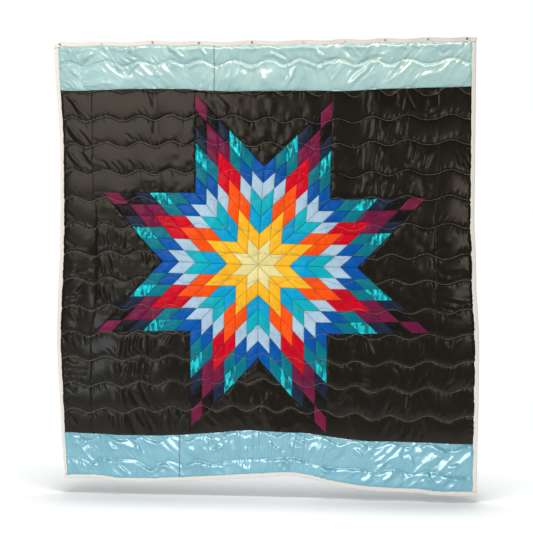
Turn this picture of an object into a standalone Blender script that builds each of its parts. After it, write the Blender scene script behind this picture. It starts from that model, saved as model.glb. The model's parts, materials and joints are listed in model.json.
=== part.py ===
"""Star quilt blanket hung by push pins along its top edge.

The blanket is a Lone Star block of eight arms, set with corner squares and side triangles,
framed by two side borders and a band at the head and foot, quilted in wavy rows and bound
in white tape. Each cloth piece is one closed solid in its hung shape.
Metres, +Z up, front of the blanket towards -Y, back towards +Y.
"""
import math

import bmesh
import bpy
import numpy as np
from mathutils import Vector
from mathutils.geometry import delaunay_2d_cdt

# Flat pattern sizes, measured from the middle of the star
STRIP = 0.0508                                  # finished width of one patch strip
PATCHES = 6                                     # patches along each edge of an arm
ARM = PATCHES * STRIP / math.sin(math.radians(45.0))
NOTCH = ARM / math.sqrt(2.0)                    # across and up to the diagonal notches
TIP = ARM + NOTCH                               # half the star block
FLOAT = 0.032                                   # dark margin outside the star's tips
SEAM = TIP + FLOAT                              # half the dark square
HALF_WIDE = 0.933
HALF_TALL = 0.988
GAP = 0.0004                                    # parting between neighbouring pieces

# Cloth and tape thickness
HALF_SHEET = 0.0020                             # at a row of quilting, each side of the middle
PUFF = 0.0048                                   # front swell between the quilting rows
BACK_PUFF = 0.0016
TAPE_WIDE = 0.020
TAPE_WALL = 0.0012
TAPE_CLEAR = 0.0008
SIDE_TUCK = 0.0030                              # cloth edge below the fold of the tape
HEAD_TUCK = 0.0125                              # the same at the head, where the pins pass

# Quilting rows from the head: heights in the flat pattern at each place of ROW_PLACES
ROW_PLACES = (-0.60, 0.10, 0.60)
ROWS = (
    (0.889, 0.898, 0.888),
    (0.762, 0.762, 0.762),
    (0.631, 0.643, 0.662),
    (0.515, 0.533, 0.552),
    (0.394, 0.405, 0.418),
    (0.276, 0.294, 0.306),
    (0.154, 0.170, 0.183),
    (0.035, 0.045, 0.048),
    (-0.082, -0.076, -0.068),
    (-0.199, -0.199, -0.208),
    (-0.314, -0.314, -0.322),
    (-0.428, -0.424, -0.440),
    (-0.549, -0.526, -0.550),
    (-0.674, -0.642, -0.667),
    (-0.779, -0.779, -0.779),
    (-0.897, -0.900, -0.897),
)

# Crests of the quilting waves across the flat pattern, left to right (mm), by height of the row
WAVE_TALL = 0.0115
UPPER_ROWS = 0.170
LOWER_ROWS = 0.045
UPPER_CRESTS = (-1007, -865, -723, -567, -422, -283, -136, 22, 159, 327, 490, 655, 825, 985)
LOWER_CRESTS = (-1015, -862, -689, -536, -395, -258, -122, 18, 148, 289, 432, 580, 733, 892, 1050)

# Places where the quilting has drawn the star out of its true shape, from its middle (m)
PULLS = (
    # across, height, reach across, reach up, moved right, moved up
    (-0.49, 0.06, 0.20, 0.13, -0.0160, 0.0),
    (0.20, 0.00, 0.15, 0.16, -0.0105, 0.0),
    (0.00, 0.17, 0.20, 0.12, 0.0, -0.0080),
    (-0.03, -0.30, 0.14, 0.19, 0.0, 0.0155),
)

# Mesh steps
STEP = 0.0375                                   # a quarter of one wave
SEAM_STEP = 0.046
BACK_STEP = 0.062
ROW_PARTS = 3                                   # mesh rows between two rows of quilting
CLOSE = 0.012                                   # points nearer than this are left out
EDGE_ROW = 0.024                                # first row of points inside the tape
SIDE_REACH = HALF_TALL - TAPE_WIDE - 0.0012     # ends of the side tapes, below the head tape

# Where the middle of the star hangs, from the middle of the top edge
STAR_X = -0.035
STAR_Z = -0.999

# Across shifts of upright lines of the flat pattern, each (height m, shift mm) from the top
ACROSS = (
    ("left edge", -HALF_WIDE, ((1.00, -2), (0.80, 6), (0.66, 18), (0.52, 26), (0.30, 29), (0.07, 27),
                               (-0.16, 17), (-0.34, 12), (-0.62, 25), (-0.80, 34), (-0.98, 48))),
    ("left seam", -SEAM, ((0.79, 6), (0.57, 10), (0.34, 15), (0.20, 32), (-0.07, 32), (-0.23, 20),
                          (-0.34, 5), (-0.76, 5))),
    ("left tips", -TIP, ((0.305, 31), (-0.305, -4))),
    ("left notches", -NOTCH, ((0.736, 19), (0.305, 22), (-0.305, -3), (-0.736, 2))),
    ("middle", 0.0, ((0.431, 25), (0.0, 0), (-0.431, -3))),
    ("right notches", NOTCH, ((0.736, 23), (0.305, 13), (-0.305, 0), (-0.736, -7))),
    ("right tips", TIP, ((0.305, -2), (-0.305, 12))),
    ("right seam", SEAM, ((0.76, 20), (0.55, 20), (0.37, 16), (0.22, 4), (-0.15, 4), (-0.31, 14),
                          (-0.50, 16), (-0.78, 14))),
    ("right edge", HALF_WIDE, ((1.00, 20), (0.76, 18), (0.50, 15), (0.20, 12), (0.07, 17), (-0.11, 21),
                               (-0.24, 28), (-0.37, 32), (-0.59, 30), (-0.76, 26), (-1.00, 22))),
)

# Up shifts of level lines of the flat pattern, each (across m, shift mm) from the left
UP = (
    ("foot edge", -HALF_TALL, ((-0.93, 17), (-0.75, 21), (-0.65, 11), (-0.55, 8), (-0.39, 15),
                               (-0.19, 27), (0.02, 43), (0.14, 51), (0.22, 42), (0.36, 11), (0.47, -4),
                               (0.62, -12), (0.70, -13), (0.76, -20), (0.93, -21))),
    ("foot seam", -SEAM, ((-0.90, 8), (-0.77, 5), (-0.49, 0), (-0.26, 13), (0.07, 37), (0.19, 34),
                          (0.25, 19), (0.36, 5), (0.49, -6), (0.80, -11), (0.93, -16))),
    ("lower tips", -TIP, ((-0.305, 15), (0.305, -9))),
    ("lower notches", -NOTCH, ((-0.736, 1), (-0.305, 10), (0.0, 8), (0.305, 0), (0.736, 8))),
    ("middle", 0.0, ((-0.431, 18), (0.0, 0), (0.431, -11))),
    ("upper notches", NOTCH, ((-0.736, 23), (-0.305, 19), (0.0, 6), (0.305, -16), (0.736, -13))),
    ("upper tips", TIP, ((-0.305, 33), (0.305, -15))),
    ("head seam", SEAM, ((-0.93, 27), (-0.82, 23), (-0.63, 27), (-0.36, 23), (-0.27, 15), (-0.14, 8),
                         (0.17, 6), (0.37, 0), (0.48, 4), (0.60, 7), (0.93, 10))),
    ("head edge", HALF_TALL, ((-0.933, 14), (-0.90, 27), (-0.72, 25), (-0.48, 24), (-0.27, 17),
                              (-0.03, 15), (0.20, 12), (0.56, 11), (0.74, 10), (0.93, 7))),
)

# Push pins from the left: across the flat pattern, head colour
PINS = (
    (-0.907, "grey_brown", (0.36, 0.30, 0.25)),
    (-0.744, "white", (0.85, 0.84, 0.80)),
    (-0.504, "brown", (0.40, 0.22, 0.12)),
    (-0.288, "brown", (0.40, 0.22, 0.12)),
    (-0.054, "rust", (0.42, 0.14, 0.08)),
    (0.172, "white", (0.85, 0.84, 0.80)),
    (0.356, "white", (0.85, 0.84, 0.80)),
    (0.550, "orange", (0.72, 0.30, 0.08)),
    (0.743, "mauve", (0.38, 0.32, 0.36)),
    (0.892, "dark_grey", (0.12, 0.12, 0.13)),
)
PIN_DROP = 0.0100                               # pin below the fold of the tape
PIN_SAG = 0.038                                 # sag between two pins over their distance
SAG_REACH = 0.16                                # depth over which the sag dies away
LEAN = 0.007                                    # how far the edge leans out between pins
SHANK = 0.0007
SHANK_END = 0.0140
HOLE = 0.0012
HEAD_PROFILE = (                                # radius, distance in front of the cloth
    (0.0000, 0.0098),
    (0.0024, 0.0096),
    (0.0036, 0.0086),
    (0.0030, 0.0066),
    (0.0026, 0.0042),
    (0.0044, 0.0020),
    (0.0044, 0.0006),
)
PIN_SIDES = 10

# Soft folds: name, upper end (across, height), lower end (across, height), half width, rise
FOLDS = (
    ("upper right fold", (0.530, 0.760), (0.500, 0.200), 0.055, 0.0080),
    ("right of it", (0.670, 0.700), (0.660, -0.100), 0.060, 0.0060),
    ("beside the right tips", (0.820, 0.500), (0.840, -0.500), 0.075, 0.0070),
    ("upper left fold", (-0.520, 0.740), (-0.500, 0.350), 0.060, 0.0050),
    ("left border swell", (-0.870, 0.450), (-0.860, -0.350), 0.065, 0.0070),
    ("lower left fold", (-0.600, -0.350), (-0.640, -0.950), 0.065, 0.0070),
    ("lower middle swell", (0.060, -0.600), (0.120, -0.985), 0.090, 0.0090),
    ("lower right fold", (0.420, -0.450), (0.480, -0.980), 0.070, 0.0080),
    ("right foot swell", (0.760, -0.600), (0.790, -0.980), 0.070, 0.0070),
    ("star left swell", (-0.300, 0.400), (-0.340, -0.400), 0.110, 0.0060),
    ("star right swell", (0.240, 0.450), (0.260, -0.300), 0.110, 0.0060),
)

FABRICS = {
    "dark_satin": (0.030, 0.028, 0.026),
    "light_blue_satin": (0.47, 0.72, 0.76),
    "white_binding": (0.85, 0.82, 0.78),
    "star_satin": (0.02, 0.38, 0.55),
}


def clear_scene():
    for thing in list(bpy.data.objects):
        bpy.data.objects.remove(thing, do_unlink=True)


def material(name, colour, roughness=0.45):
    made = bpy.data.materials.get(name) or bpy.data.materials.new(name)
    made.use_nodes = True
    shader = made.node_tree.nodes["Principled BSDF"]
    shader.inputs["Base Color"].default_value = (*colour, 1.0)
    shader.inputs["Roughness"].default_value = roughness
    return made


def smooth_curve(knots, values, at):
    """Smooth curve through the knots that never overshoots them."""
    knots = np.asarray(knots, float)
    values = np.asarray(values, float)
    at = np.clip(np.asarray(at, float), knots[0], knots[-1])
    spans = np.diff(knots)[:, None] if values.ndim > 1 else np.diff(knots)
    rises = np.diff(values, axis=0) / spans
    slopes = np.zeros_like(values)
    product = rises[:-1] * rises[1:]
    total = rises[:-1] + rises[1:]
    slopes[1:-1] = np.where(product > 0, 2 * product / np.where(product > 0, total, 1.0), 0.0)
    slopes[0] = rises[0]
    slopes[-1] = rises[-1]
    place = np.clip(np.searchsorted(knots, at, side="right") - 1, 0, len(knots) - 2)
    width = knots[place + 1] - knots[place]
    part = (at - knots[place]) / width
    if values.ndim > 1:
        column = np.arange(values.shape[1])
        low, high = values[place, column], values[place + 1, column]
        start, end = slopes[place, column], slopes[place + 1, column]
    else:
        low, high = values[place], values[place + 1]
        start, end = slopes[place], slopes[place + 1]
    return (low * (1 + 2 * part) * (1 - part) ** 2 + high * part ** 2 * (3 - 2 * part)
            + width * (start * part * (1 - part) ** 2 - end * part ** 2 * (1 - part)))


def shift(lines, across, along):
    """Shift in metres from a set of lines that lie across one direction."""
    values = []
    for _, _, table in lines:
        knots = sorted(table)
        values.append(smooth_curve([k for k, _ in knots], [s for _, s in knots], along))
    return smooth_curve([line[1] for line in lines], np.array(values), across) / 1000.0


def ease(part):
    part = np.clip(part, 0.0, 1.0)
    return part * part * (3.0 - 2.0 * part)


def pin_spans(u):
    """Distance between the two pins beside u, and the part of the way between them."""
    posts = np.array([-HALF_WIDE - 0.05] + [pin[0] for pin in PINS] + [HALF_WIDE + 0.05])
    place = np.clip(np.searchsorted(posts, u, side="right") - 1, 0, len(posts) - 2)
    width = posts[place + 1] - posts[place]
    return width, (u - posts[place]) / width


def near_head(v):
    return 1.0 - ease((HALF_TALL - v) / SAG_REACH)


def fold_depth(u, v):
    """How far the soft folds bring the cloth forward."""
    out = np.zeros_like(u)
    for _, (u_top, v_top), (u_low, v_low), width, rise in FOLDS:
        part = (v_top - v) / (v_top - v_low)
        middle = u_top + (u_low - u_top) * part
        ends = ease((v_top + width - v) / (2 * width)) * ease((v - v_low + width) / (2 * width))
        out += rise * ends * np.exp(-((u - middle) / width) ** 2)
    width, part = pin_spans(u)
    out += LEAN * np.sin(np.pi * part) ** 2 * near_head(v) * np.clip(width / 0.2, 0.3, 1.0)
    return out


def pulled(u, v):
    """How far the quilting has drawn each place to the right and up."""
    right = np.zeros(np.broadcast(u, v).shape)
    up = np.zeros(np.broadcast(u, v).shape)
    for across, height, reach_across, reach_up, moved_right, moved_up in PULLS:
        share = np.exp(-((u - across) / reach_across) ** 2 - ((v - height) / reach_up) ** 2)
        right += moved_right * share
        up += moved_up * share
    return right, up


def hang(u, v, forward):
    """Flat pattern place and distance in front of the cloth's middle, as a hung place."""
    u = np.asarray(u, float)
    v = np.asarray(v, float)
    width, part = pin_spans(u)
    sag = PIN_SAG * width * np.sin(np.pi * part) ** 2 * near_head(v)
    right, up = pulled(u, v)
    x = u + STAR_X + shift(ACROSS, u, v) + right
    z = v + STAR_Z + shift(UP, v, u) - sag + up
    y = -fold_depth(u, v) - forward
    return np.stack([x, y, z], axis=-1)


def row_wave(u, level):
    """Rise and fall of a quilting row; rows between the two sets take a share of each."""
    share = np.clip((level - LOWER_ROWS) / (UPPER_ROWS - LOWER_ROWS), 0.0, 1.0)
    upper = smooth_curve(np.divide(UPPER_CRESTS, 1000.0), np.arange(len(UPPER_CRESTS)), u)
    lower = smooth_curve(np.divide(LOWER_CRESTS, 1000.0), np.arange(len(LOWER_CRESTS)), u)
    return WAVE_TALL * (share * np.cos(2 * np.pi * upper) + (1.0 - share) * np.cos(2 * np.pi * lower))


def row_height(index, u):
    """Height of a quilting row without its wave; the numbers before and after are beyond the edges."""
    if index < 0:
        return np.full_like(u, HALF_TALL + 0.02)
    if index >= len(ROWS):
        return np.full_like(u, -HALF_TALL - 0.02)
    return smooth_curve(ROW_PLACES, ROWS[index], u)


def channel_lines(u):
    """Mesh rows from row to row, each as its heights along u and its swell."""
    lines = []
    for index in range(-1, len(ROWS)):
        upper = row_height(index, u)
        lower = row_height(index + 1, u)
        for part in range(ROW_PARTS):
            share = part / ROW_PARTS
            lines.append((upper + (lower - upper) * share, math.sin(math.pi * share) ** 0.7))
    return lines[1:]


def inset(outline, margin):
    """Outline drawn in by a margin; corners are the crossings of the moved edges."""
    count = len(outline)
    moved = []
    for index in range(count):
        start, end = Vector(outline[index]), Vector(outline[(index + 1) % count])
        along = (end - start).normalized()
        inward = Vector((-along.y, along.x))
        moved.append((start + inward * margin, along))
    corners = []
    for index in range(count):
        (p, d), (q, e) = moved[index - 1], moved[index]
        cross = d.x * e.y - d.y * e.x
        reach = ((q.x - p.x) * e.y - (q.y - p.y) * e.x) / cross
        corners.append(tuple(p + d * reach))
    return corners


def edge_depth(outline, points):
    """Distance of each point inside the outline from its nearest edge."""
    depth = np.full(len(points), np.inf)
    for index, start in enumerate(outline):
        end = outline[(index + 1) % len(outline)]
        along = np.subtract(end, start) / math.dist(start, end)
        depth = np.minimum(depth, (points - start) @ np.array((-along[1], along[0])))
    return depth


def seam_marks():
    """Stations that level and upright seams share: even steps and the pieces' corners."""
    corners = [sign * place for sign in (-1, 1) for place in (NOTCH, TIP, SEAM)]
    steps = [SEAM_STEP * index for index in range(-20, 21)]
    return sorted(corners + [m for m in steps if min(abs(m - c) for c in corners) > CLOSE])


def stations(start, end):
    """Places along one edge, the same on both sides of a seam and under the tape."""
    level = abs(start[1] - end[1]) < GAP / 4
    upright = abs(start[0] - end[0]) < GAP / 4
    if not level and not upright:
        count = max(1, round(math.dist(start, end) / SEAM_STEP))
        shares = np.arange(count) / count
        return [tuple(np.add(start, np.subtract(end, start) * share)) for share in shares]
    axis = 0 if level else 1
    taped = abs(start[1 - axis]) > SEAM + 0.1
    low, high = sorted((start[axis], end[axis]))
    marks = tape_marks(axis) if taped else seam_marks()
    marks = [m for m in marks if low + CLOSE < m < high - CLOSE]
    if start[axis] > end[axis]:
        marks.reverse()
    return [start] + [(m, start[1]) if level else (start[0], m) for m in marks]


def tape_marks(axis):
    """Stations along a tape: 0 for the head and foot, 1 for the sides."""
    half = HALF_WIDE - TAPE_WIDE if axis == 0 else SIDE_REACH
    count = math.floor((half - 0.3 * STEP) / STEP)
    marks = [STEP * index for index in range(-count, count + 1)]
    fixed = [pin[0] for pin in PINS] if axis == 0 else [-SEAM, SEAM]
    for place in fixed:
        nearest = min(range(len(marks)), key=lambda index: abs(marks[index] - place))
        marks[nearest] = place
    return [-half] + marks + [half] if axis == 0 else marks


def front_points(outline):
    """Points inside a panel along the quilting rows, with the swell of each."""
    us = np.arange(-25, 26) * STEP
    points = []
    swells = []
    for heights, swell in channel_lines(us):
        points += list(zip(us, heights + row_wave(us, np.mean(heights))))
        swells += [swell] * len(us)
    points = np.array(points)
    swells = np.array(swells)
    depth = edge_depth(outline, points)
    rim = np.minimum(HALF_WIDE - np.abs(points[:, 0]), HALF_TALL - np.abs(points[:, 1]))
    keep = (depth > 0.014) & (rim > EDGE_ROW + CLOSE)
    points, swells, depth, rim = points[keep], swells[keep], depth[keep], rim[keep]
    swells = swells * ease((depth + 0.010) / 0.035) * ease((rim - EDGE_ROW) / 0.03)
    return points, swells


def tape_row(outline):
    """Points just inside the tape at the tape's own stations."""
    found = []
    for u in [-HALF_WIDE + EDGE_ROW] + tape_marks(0) + [HALF_WIDE - EDGE_ROW]:
        found += [(u, HALF_TALL - EDGE_ROW), (u, EDGE_ROW - HALF_TALL)]
    for v in tape_marks(1):
        if abs(v) < HALF_TALL - EDGE_ROW - CLOSE:
            found += [(HALF_WIDE - EDGE_ROW, v), (EDGE_ROW - HALF_WIDE, v)]
    found = np.array(found)
    return found[edge_depth(outline, found) > 0.008]


def back_points(outline):
    across = np.arange(-15, 16) * BACK_STEP
    grid = np.array([(u, v) for u in across for v in np.arange(-16, 17) * BACK_STEP])
    rim = np.minimum(HALF_WIDE - np.abs(grid[:, 0]), HALF_TALL - np.abs(grid[:, 1]))
    return grid[(edge_depth(outline, grid) > 0.020) & (rim > EDGE_ROW + 0.016)]


def triangles(border, inner):
    """Triangles over the border's points and the inner points, and the merged points."""
    points = [Vector(p) for p in border] + [Vector(p) for p in inner]
    ring = list(range(len(border)))
    merged, _, faces, _, _, _ = delaunay_2d_cdt(points, [], [ring], 1, 1e-6)
    if len(merged) != len(points):
        raise ValueError("points of a panel fell together")
    return faces


def quilted_panel(name, outline, kind):
    """One cloth panel: swollen front, plain back, walls along its cut edges."""
    outline = inset(outline, GAP / 2)
    border = []
    for index, start in enumerate(outline):
        border += stations(start, outline[(index + 1) % len(outline)])
    border = np.array(border)
    rows, swells = front_points(outline)
    taped = tape_row(outline)
    inner = np.vstack([rows, taped])
    front_rise = np.concatenate([np.zeros(len(border)), swells, np.zeros(len(taped))]) * PUFF
    front = np.vstack([border, inner])
    behind = np.vstack([back_points(outline), taped])
    back = np.vstack([border, behind])
    back_rise = np.zeros(len(back))
    back_rise[len(border):len(back) - len(taped)] = BACK_PUFF

    bm = bmesh.new()
    near = [bm.verts.new(p) for p in hang(front[:, 0], front[:, 1], HALF_SHEET + front_rise)]
    far = [bm.verts.new(p) for p in hang(back[:, 0], back[:, 1], -HALF_SHEET - back_rise)]
    for face in triangles(border, inner):
        bm.faces.new([near[i] for i in face])
    for face in triangles(border, behind):
        bm.faces.new([far[i] for i in reversed(face)])
    for index in range(len(border)):
        after = (index + 1) % len(border)
        bm.faces.new((near[after], near[index], far[index], far[after]))
    bmesh.ops.recalc_face_normals(bm, faces=bm.faces)
    return finish(name, bm, kind)


def tape_profile():
    """Section of the folded tape: (distance from the edge, distance forward)."""
    inner = HALF_SHEET + TAPE_CLEAR
    outer = inner + TAPE_WALL
    return (
        (TAPE_WIDE, outer),
        (0.0028, outer),
        (0.0006, outer * 0.6),
        (0.0006, -outer * 0.6),
        (0.0028, -outer),
        (TAPE_WIDE, -outer),
        (TAPE_WIDE, -inner),
        (0.0022, -inner),
        (0.0022, inner),
        (TAPE_WIDE, inner),
    )


def binding_strip(name, side):
    """Folded tape along one side of the blanket."""
    level = side in ("head", "foot")
    marks = tape_marks(0 if level else 1)
    reach = HALF_WIDE if level else SIDE_REACH
    marks = [-reach] + marks + [reach]
    sign = 1.0 if side in ("head", "right") else -1.0
    bm = bmesh.new()
    rings = []
    for mark in marks:
        ring = []
        for inward, forward in tape_profile():
            if level:
                place = hang(mark, sign * (HALF_TALL - inward), forward)
            else:
                place = hang(sign * (HALF_WIDE - inward), mark, forward)
            ring.append(bm.verts.new(place))
        rings.append(ring)
    count = len(rings[0])
    for left, right in zip(rings, rings[1:]):
        for index in range(count):
            after = (index + 1) % count
            bm.faces.new((left[index], left[after], right[after], right[index]))
    bm.faces.new(rings[0])
    bm.faces.new(reversed(rings[-1]))
    bmesh.ops.recalc_face_normals(bm, faces=bm.faces)
    return finish(name, bm, "white_binding")


def finish(name, bm, kind):
    mesh = bpy.data.meshes.new(name)
    bmesh.ops.triangulate(bm, faces=bm.faces)
    bm.to_mesh(mesh)
    bm.free()
    made = bpy.data.objects.new(name, mesh)
    made.data.materials.append(material(kind, FABRICS[kind]))
    bpy.data.collections["star_quilt_blanket"].objects.link(made)
    return made


def pin_place(u):
    """Where a pin crosses the middle of the cloth."""
    return Vector(hang(u, HALF_TALL - PIN_DROP, 0.0).tolist())


def turned(profile, place, sides):
    """Closed solid turned about the Y direction through a place."""
    bm = bmesh.new()
    verts = [bm.verts.new((radius, -forward, 0.0)) for radius, forward in profile]
    edges = [bm.edges.new(pair) for pair in zip(verts, verts[1:])]
    bmesh.ops.spin(bm, geom=verts + edges, axis=(0, 1, 0), cent=(0, 0, 0),
                   steps=sides, angle=2 * math.pi, use_duplicate=False)
    bmesh.ops.remove_doubles(bm, verts=bm.verts, dist=1e-5)
    bmesh.ops.recalc_face_normals(bm, faces=bm.faces)
    bmesh.ops.translate(bm, verts=bm.verts, vec=place)
    return bm


def push_pin(name, u, colour_name, colour):
    """Turned head and shank in one piece, in front of the head tape and through it."""
    face = HALF_SHEET + TAPE_CLEAR + TAPE_WALL
    profile = [(radius, face + forward) for radius, forward in HEAD_PROFILE]
    profile += [(SHANK, face + HEAD_PROFILE[-1][1]), (SHANK, -SHANK_END), (0.0, -SHANK_END - 0.0015)]
    made = finish(name, turned(profile, pin_place(u), PIN_SIDES), "white_binding")
    made.data.materials.clear()
    made.data.materials.append(material("pin_" + colour_name, colour, 0.3))
    return made


def pierce(tape):
    """Cut the pins' holes through the head tape."""
    bm = bmesh.new()
    for u, _, _ in PINS:
        rod = turned([(0.0, 0.02), (HOLE, 0.02), (HOLE, -0.02), (0.0, -0.02)], pin_place(u), 8)
        spare = bpy.data.meshes.new("rod")
        rod.to_mesh(spare)
        rod.free()
        bm.from_mesh(spare)
        bpy.data.meshes.remove(spare)
    mesh = bpy.data.meshes.new("pin_holes")
    bm.to_mesh(mesh)
    bm.free()
    cutter = bpy.data.objects.new("pin_holes", mesh)
    cutter.hide_render = True
    cutter.display_type = "WIRE"
    bpy.data.collections["cutters"].objects.link(cutter)
    cut = tape.modifiers.new("pin_holes", "BOOLEAN")
    cut.operation = "DIFFERENCE"
    cut.solver = "EXACT"
    cut.object = cutter


def star_arms():
    names = ("east_north", "north_east", "north_west", "west_north",
             "west_south", "south_west", "south_east", "east_south")
    for index, name in enumerate(names):
        first = math.radians(45.0 * index)
        second = math.radians(45.0 * (index + 1))
        a = (ARM * math.cos(first), ARM * math.sin(first))
        b = (ARM * math.cos(second), ARM * math.sin(second))
        quilted_panel("star_arm_" + name, [(0.0, 0.0), a, (a[0] + b[0], a[1] + b[1]), b], "star_satin")


def quarter_turn(points, times):
    for _ in range(times):
        points = [(-v, u) for u, v in points]
    return points


def dark_panels():
    square = [(NOTCH, NOTCH), (SEAM, NOTCH), (SEAM, SEAM), (NOTCH, SEAM)]
    triangle = [(0.0, ARM), (NOTCH, TIP), (NOTCH, SEAM), (-NOTCH, SEAM), (-NOTCH, TIP)]
    for times, corner in enumerate(("upper_right", "upper_left", "lower_left", "lower_right")):
        quilted_panel("corner_square_" + corner, quarter_turn(square, times), "dark_satin")
    for times, side in enumerate(("top", "left", "bottom", "right")):
        quilted_panel("side_triangle_" + side, quarter_turn(triangle, times), "dark_satin")
    edge = HALF_WIDE - SIDE_TUCK
    quilted_panel("side_border_right", [(SEAM, -SEAM), (edge, -SEAM), (edge, SEAM), (SEAM, SEAM)],
                  "dark_satin")
    quilted_panel("side_border_left", [(-edge, -SEAM), (-SEAM, -SEAM), (-SEAM, SEAM), (-edge, SEAM)],
                  "dark_satin")


def bands():
    edge = HALF_WIDE - SIDE_TUCK
    head = HALF_TALL - HEAD_TUCK
    foot = -HALF_TALL + SIDE_TUCK
    quilted_panel("head_band", [(-edge, SEAM), (edge, SEAM), (edge, head), (-edge, head)],
                  "light_blue_satin")
    quilted_panel("foot_band", [(-edge, foot), (edge, foot), (edge, -SEAM), (-edge, -SEAM)],
                  "light_blue_satin")


def main():
    clear_scene()
    for name in ("star_quilt_blanket", "cutters"):
        bpy.context.scene.collection.children.link(bpy.data.collections.new(name))
    star_arms()
    dark_panels()
    bands()
    for side in ("head", "foot", "left", "right"):
        tape = binding_strip("binding_" + side, side)
        if side == "head":
            pierce(tape)
    for index, (u, colour_name, colour) in enumerate(PINS, start=1):
        push_pin("push_pin_%02d" % index, u, colour_name, colour)


main()
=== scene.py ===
"""Star quilt blanket hung by push pins: satin patchwork, wavy quilting, binding and pins.

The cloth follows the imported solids: the same flat pattern and the same hang are repeated here,
and the finer relief of the quilted satin is laid on them. Metres, front towards -Y.
"""
import json
import math

import bmesh
import bpy
import numpy as np
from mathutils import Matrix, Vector

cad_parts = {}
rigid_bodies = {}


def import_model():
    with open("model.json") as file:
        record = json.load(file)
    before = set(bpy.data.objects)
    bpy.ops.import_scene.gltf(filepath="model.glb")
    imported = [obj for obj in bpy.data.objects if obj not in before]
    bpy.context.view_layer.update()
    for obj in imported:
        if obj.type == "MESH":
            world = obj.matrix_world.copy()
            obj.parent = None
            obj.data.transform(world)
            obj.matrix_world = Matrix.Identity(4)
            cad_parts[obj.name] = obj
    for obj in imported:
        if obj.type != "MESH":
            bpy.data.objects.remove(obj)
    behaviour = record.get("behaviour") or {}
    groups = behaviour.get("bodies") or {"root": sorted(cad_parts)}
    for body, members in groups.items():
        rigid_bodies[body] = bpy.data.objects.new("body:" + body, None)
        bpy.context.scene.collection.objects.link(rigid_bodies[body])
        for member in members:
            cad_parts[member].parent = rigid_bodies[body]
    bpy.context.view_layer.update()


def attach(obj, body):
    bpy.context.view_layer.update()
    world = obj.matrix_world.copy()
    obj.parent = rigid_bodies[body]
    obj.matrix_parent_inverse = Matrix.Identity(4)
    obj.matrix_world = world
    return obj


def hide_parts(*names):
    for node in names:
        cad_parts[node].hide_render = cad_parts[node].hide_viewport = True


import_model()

# Flat pattern sizes, measured from the middle of the star
STRIP = 0.0508                                  # finished width of one patch strip
PATCHES = 6                                     # patches along each edge of an arm
ARM = PATCHES * STRIP / math.sin(math.radians(45.0))
NOTCH = ARM / math.sqrt(2.0)                    # across and up to the diagonal notches
TIP = ARM + NOTCH                               # half the star block
FLOAT = 0.032                                   # dark margin outside the star's tips
SEAM = TIP + FLOAT                              # half the dark square
HALF_WIDE = 0.933
HALF_TALL = 0.988

# Cloth and tape thickness
HALF_SHEET = 0.0020                             # at a row of quilting, each side of the middle
PUFF = 0.0048                                   # front swell between the quilting rows
SWELL_LOW = 0.85                                # under 1 the swell is highest below its middle
SWELL_FLAT = 0.42                               # under 1 the swell is flat on top
TAPE_WIDE = 0.020
TAPE_WALL = 0.0012
TAPE_CLEAR = 0.0008
TAPE_INSET = 0.0006                             # fold of the tape inside the edge of the flat pattern
TAPE_LIP = 0.0004                               # rounding of its free edges
TAPE_STEP = 0.0045                              # distance between its mesh rings
TAPE_END = 0.0012                               # side tapes stop this far from the head and foot tapes
SIDE_TUCK = 0.0030                              # cloth edge below the fold of the tape
HEAD_TUCK = 0.0125                              # the same at the head, where the pins pass

# Quilting rows from the head: heights in the flat pattern at each place of ROW_PLACES
ROW_PLACES = (-0.60, 0.10, 0.60)
ROWS = (
    (0.889, 0.898, 0.888),
    (0.762, 0.762, 0.762),
    (0.631, 0.643, 0.662),
    (0.515, 0.533, 0.552),
    (0.394, 0.405, 0.418),
    (0.276, 0.294, 0.306),
    (0.154, 0.170, 0.183),
    (0.035, 0.045, 0.048),
    (-0.082, -0.076, -0.068),
    (-0.199, -0.199, -0.208),
    (-0.314, -0.314, -0.322),
    (-0.428, -0.424, -0.440),
    (-0.549, -0.526, -0.550),
    (-0.674, -0.642, -0.667),
    (-0.779, -0.779, -0.779),
    (-0.897, -0.900, -0.897),
)

# Crests of the quilting waves across the flat pattern, left to right (mm), by height of the row
WAVE_TALL = 0.0115
UPPER_ROWS = 0.170
LOWER_ROWS = 0.045
UPPER_CRESTS = (-1007, -865, -723, -567, -422, -283, -136, 22, 159, 327, 490, 655, 825, 985)
LOWER_CRESTS = (-1015, -862, -689, -536, -395, -258, -122, 18, 148, 289, 432, 580, 733, 892, 1050)

# Places where the quilting has drawn the star out of its true shape, from its middle (m)
PULLS = (
    # across, height, reach across, reach up, moved right, moved up
    (-0.49, 0.06, 0.20, 0.13, -0.0160, 0.0),
    (0.20, 0.00, 0.15, 0.16, -0.0105, 0.0),
    (0.00, 0.17, 0.20, 0.12, 0.0, -0.0080),
    (-0.03, -0.30, 0.14, 0.19, 0.0, 0.0155),
)

# Where the middle of the star hangs, from the middle of the top edge
STAR_X = -0.035
STAR_Z = -0.999

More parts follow.
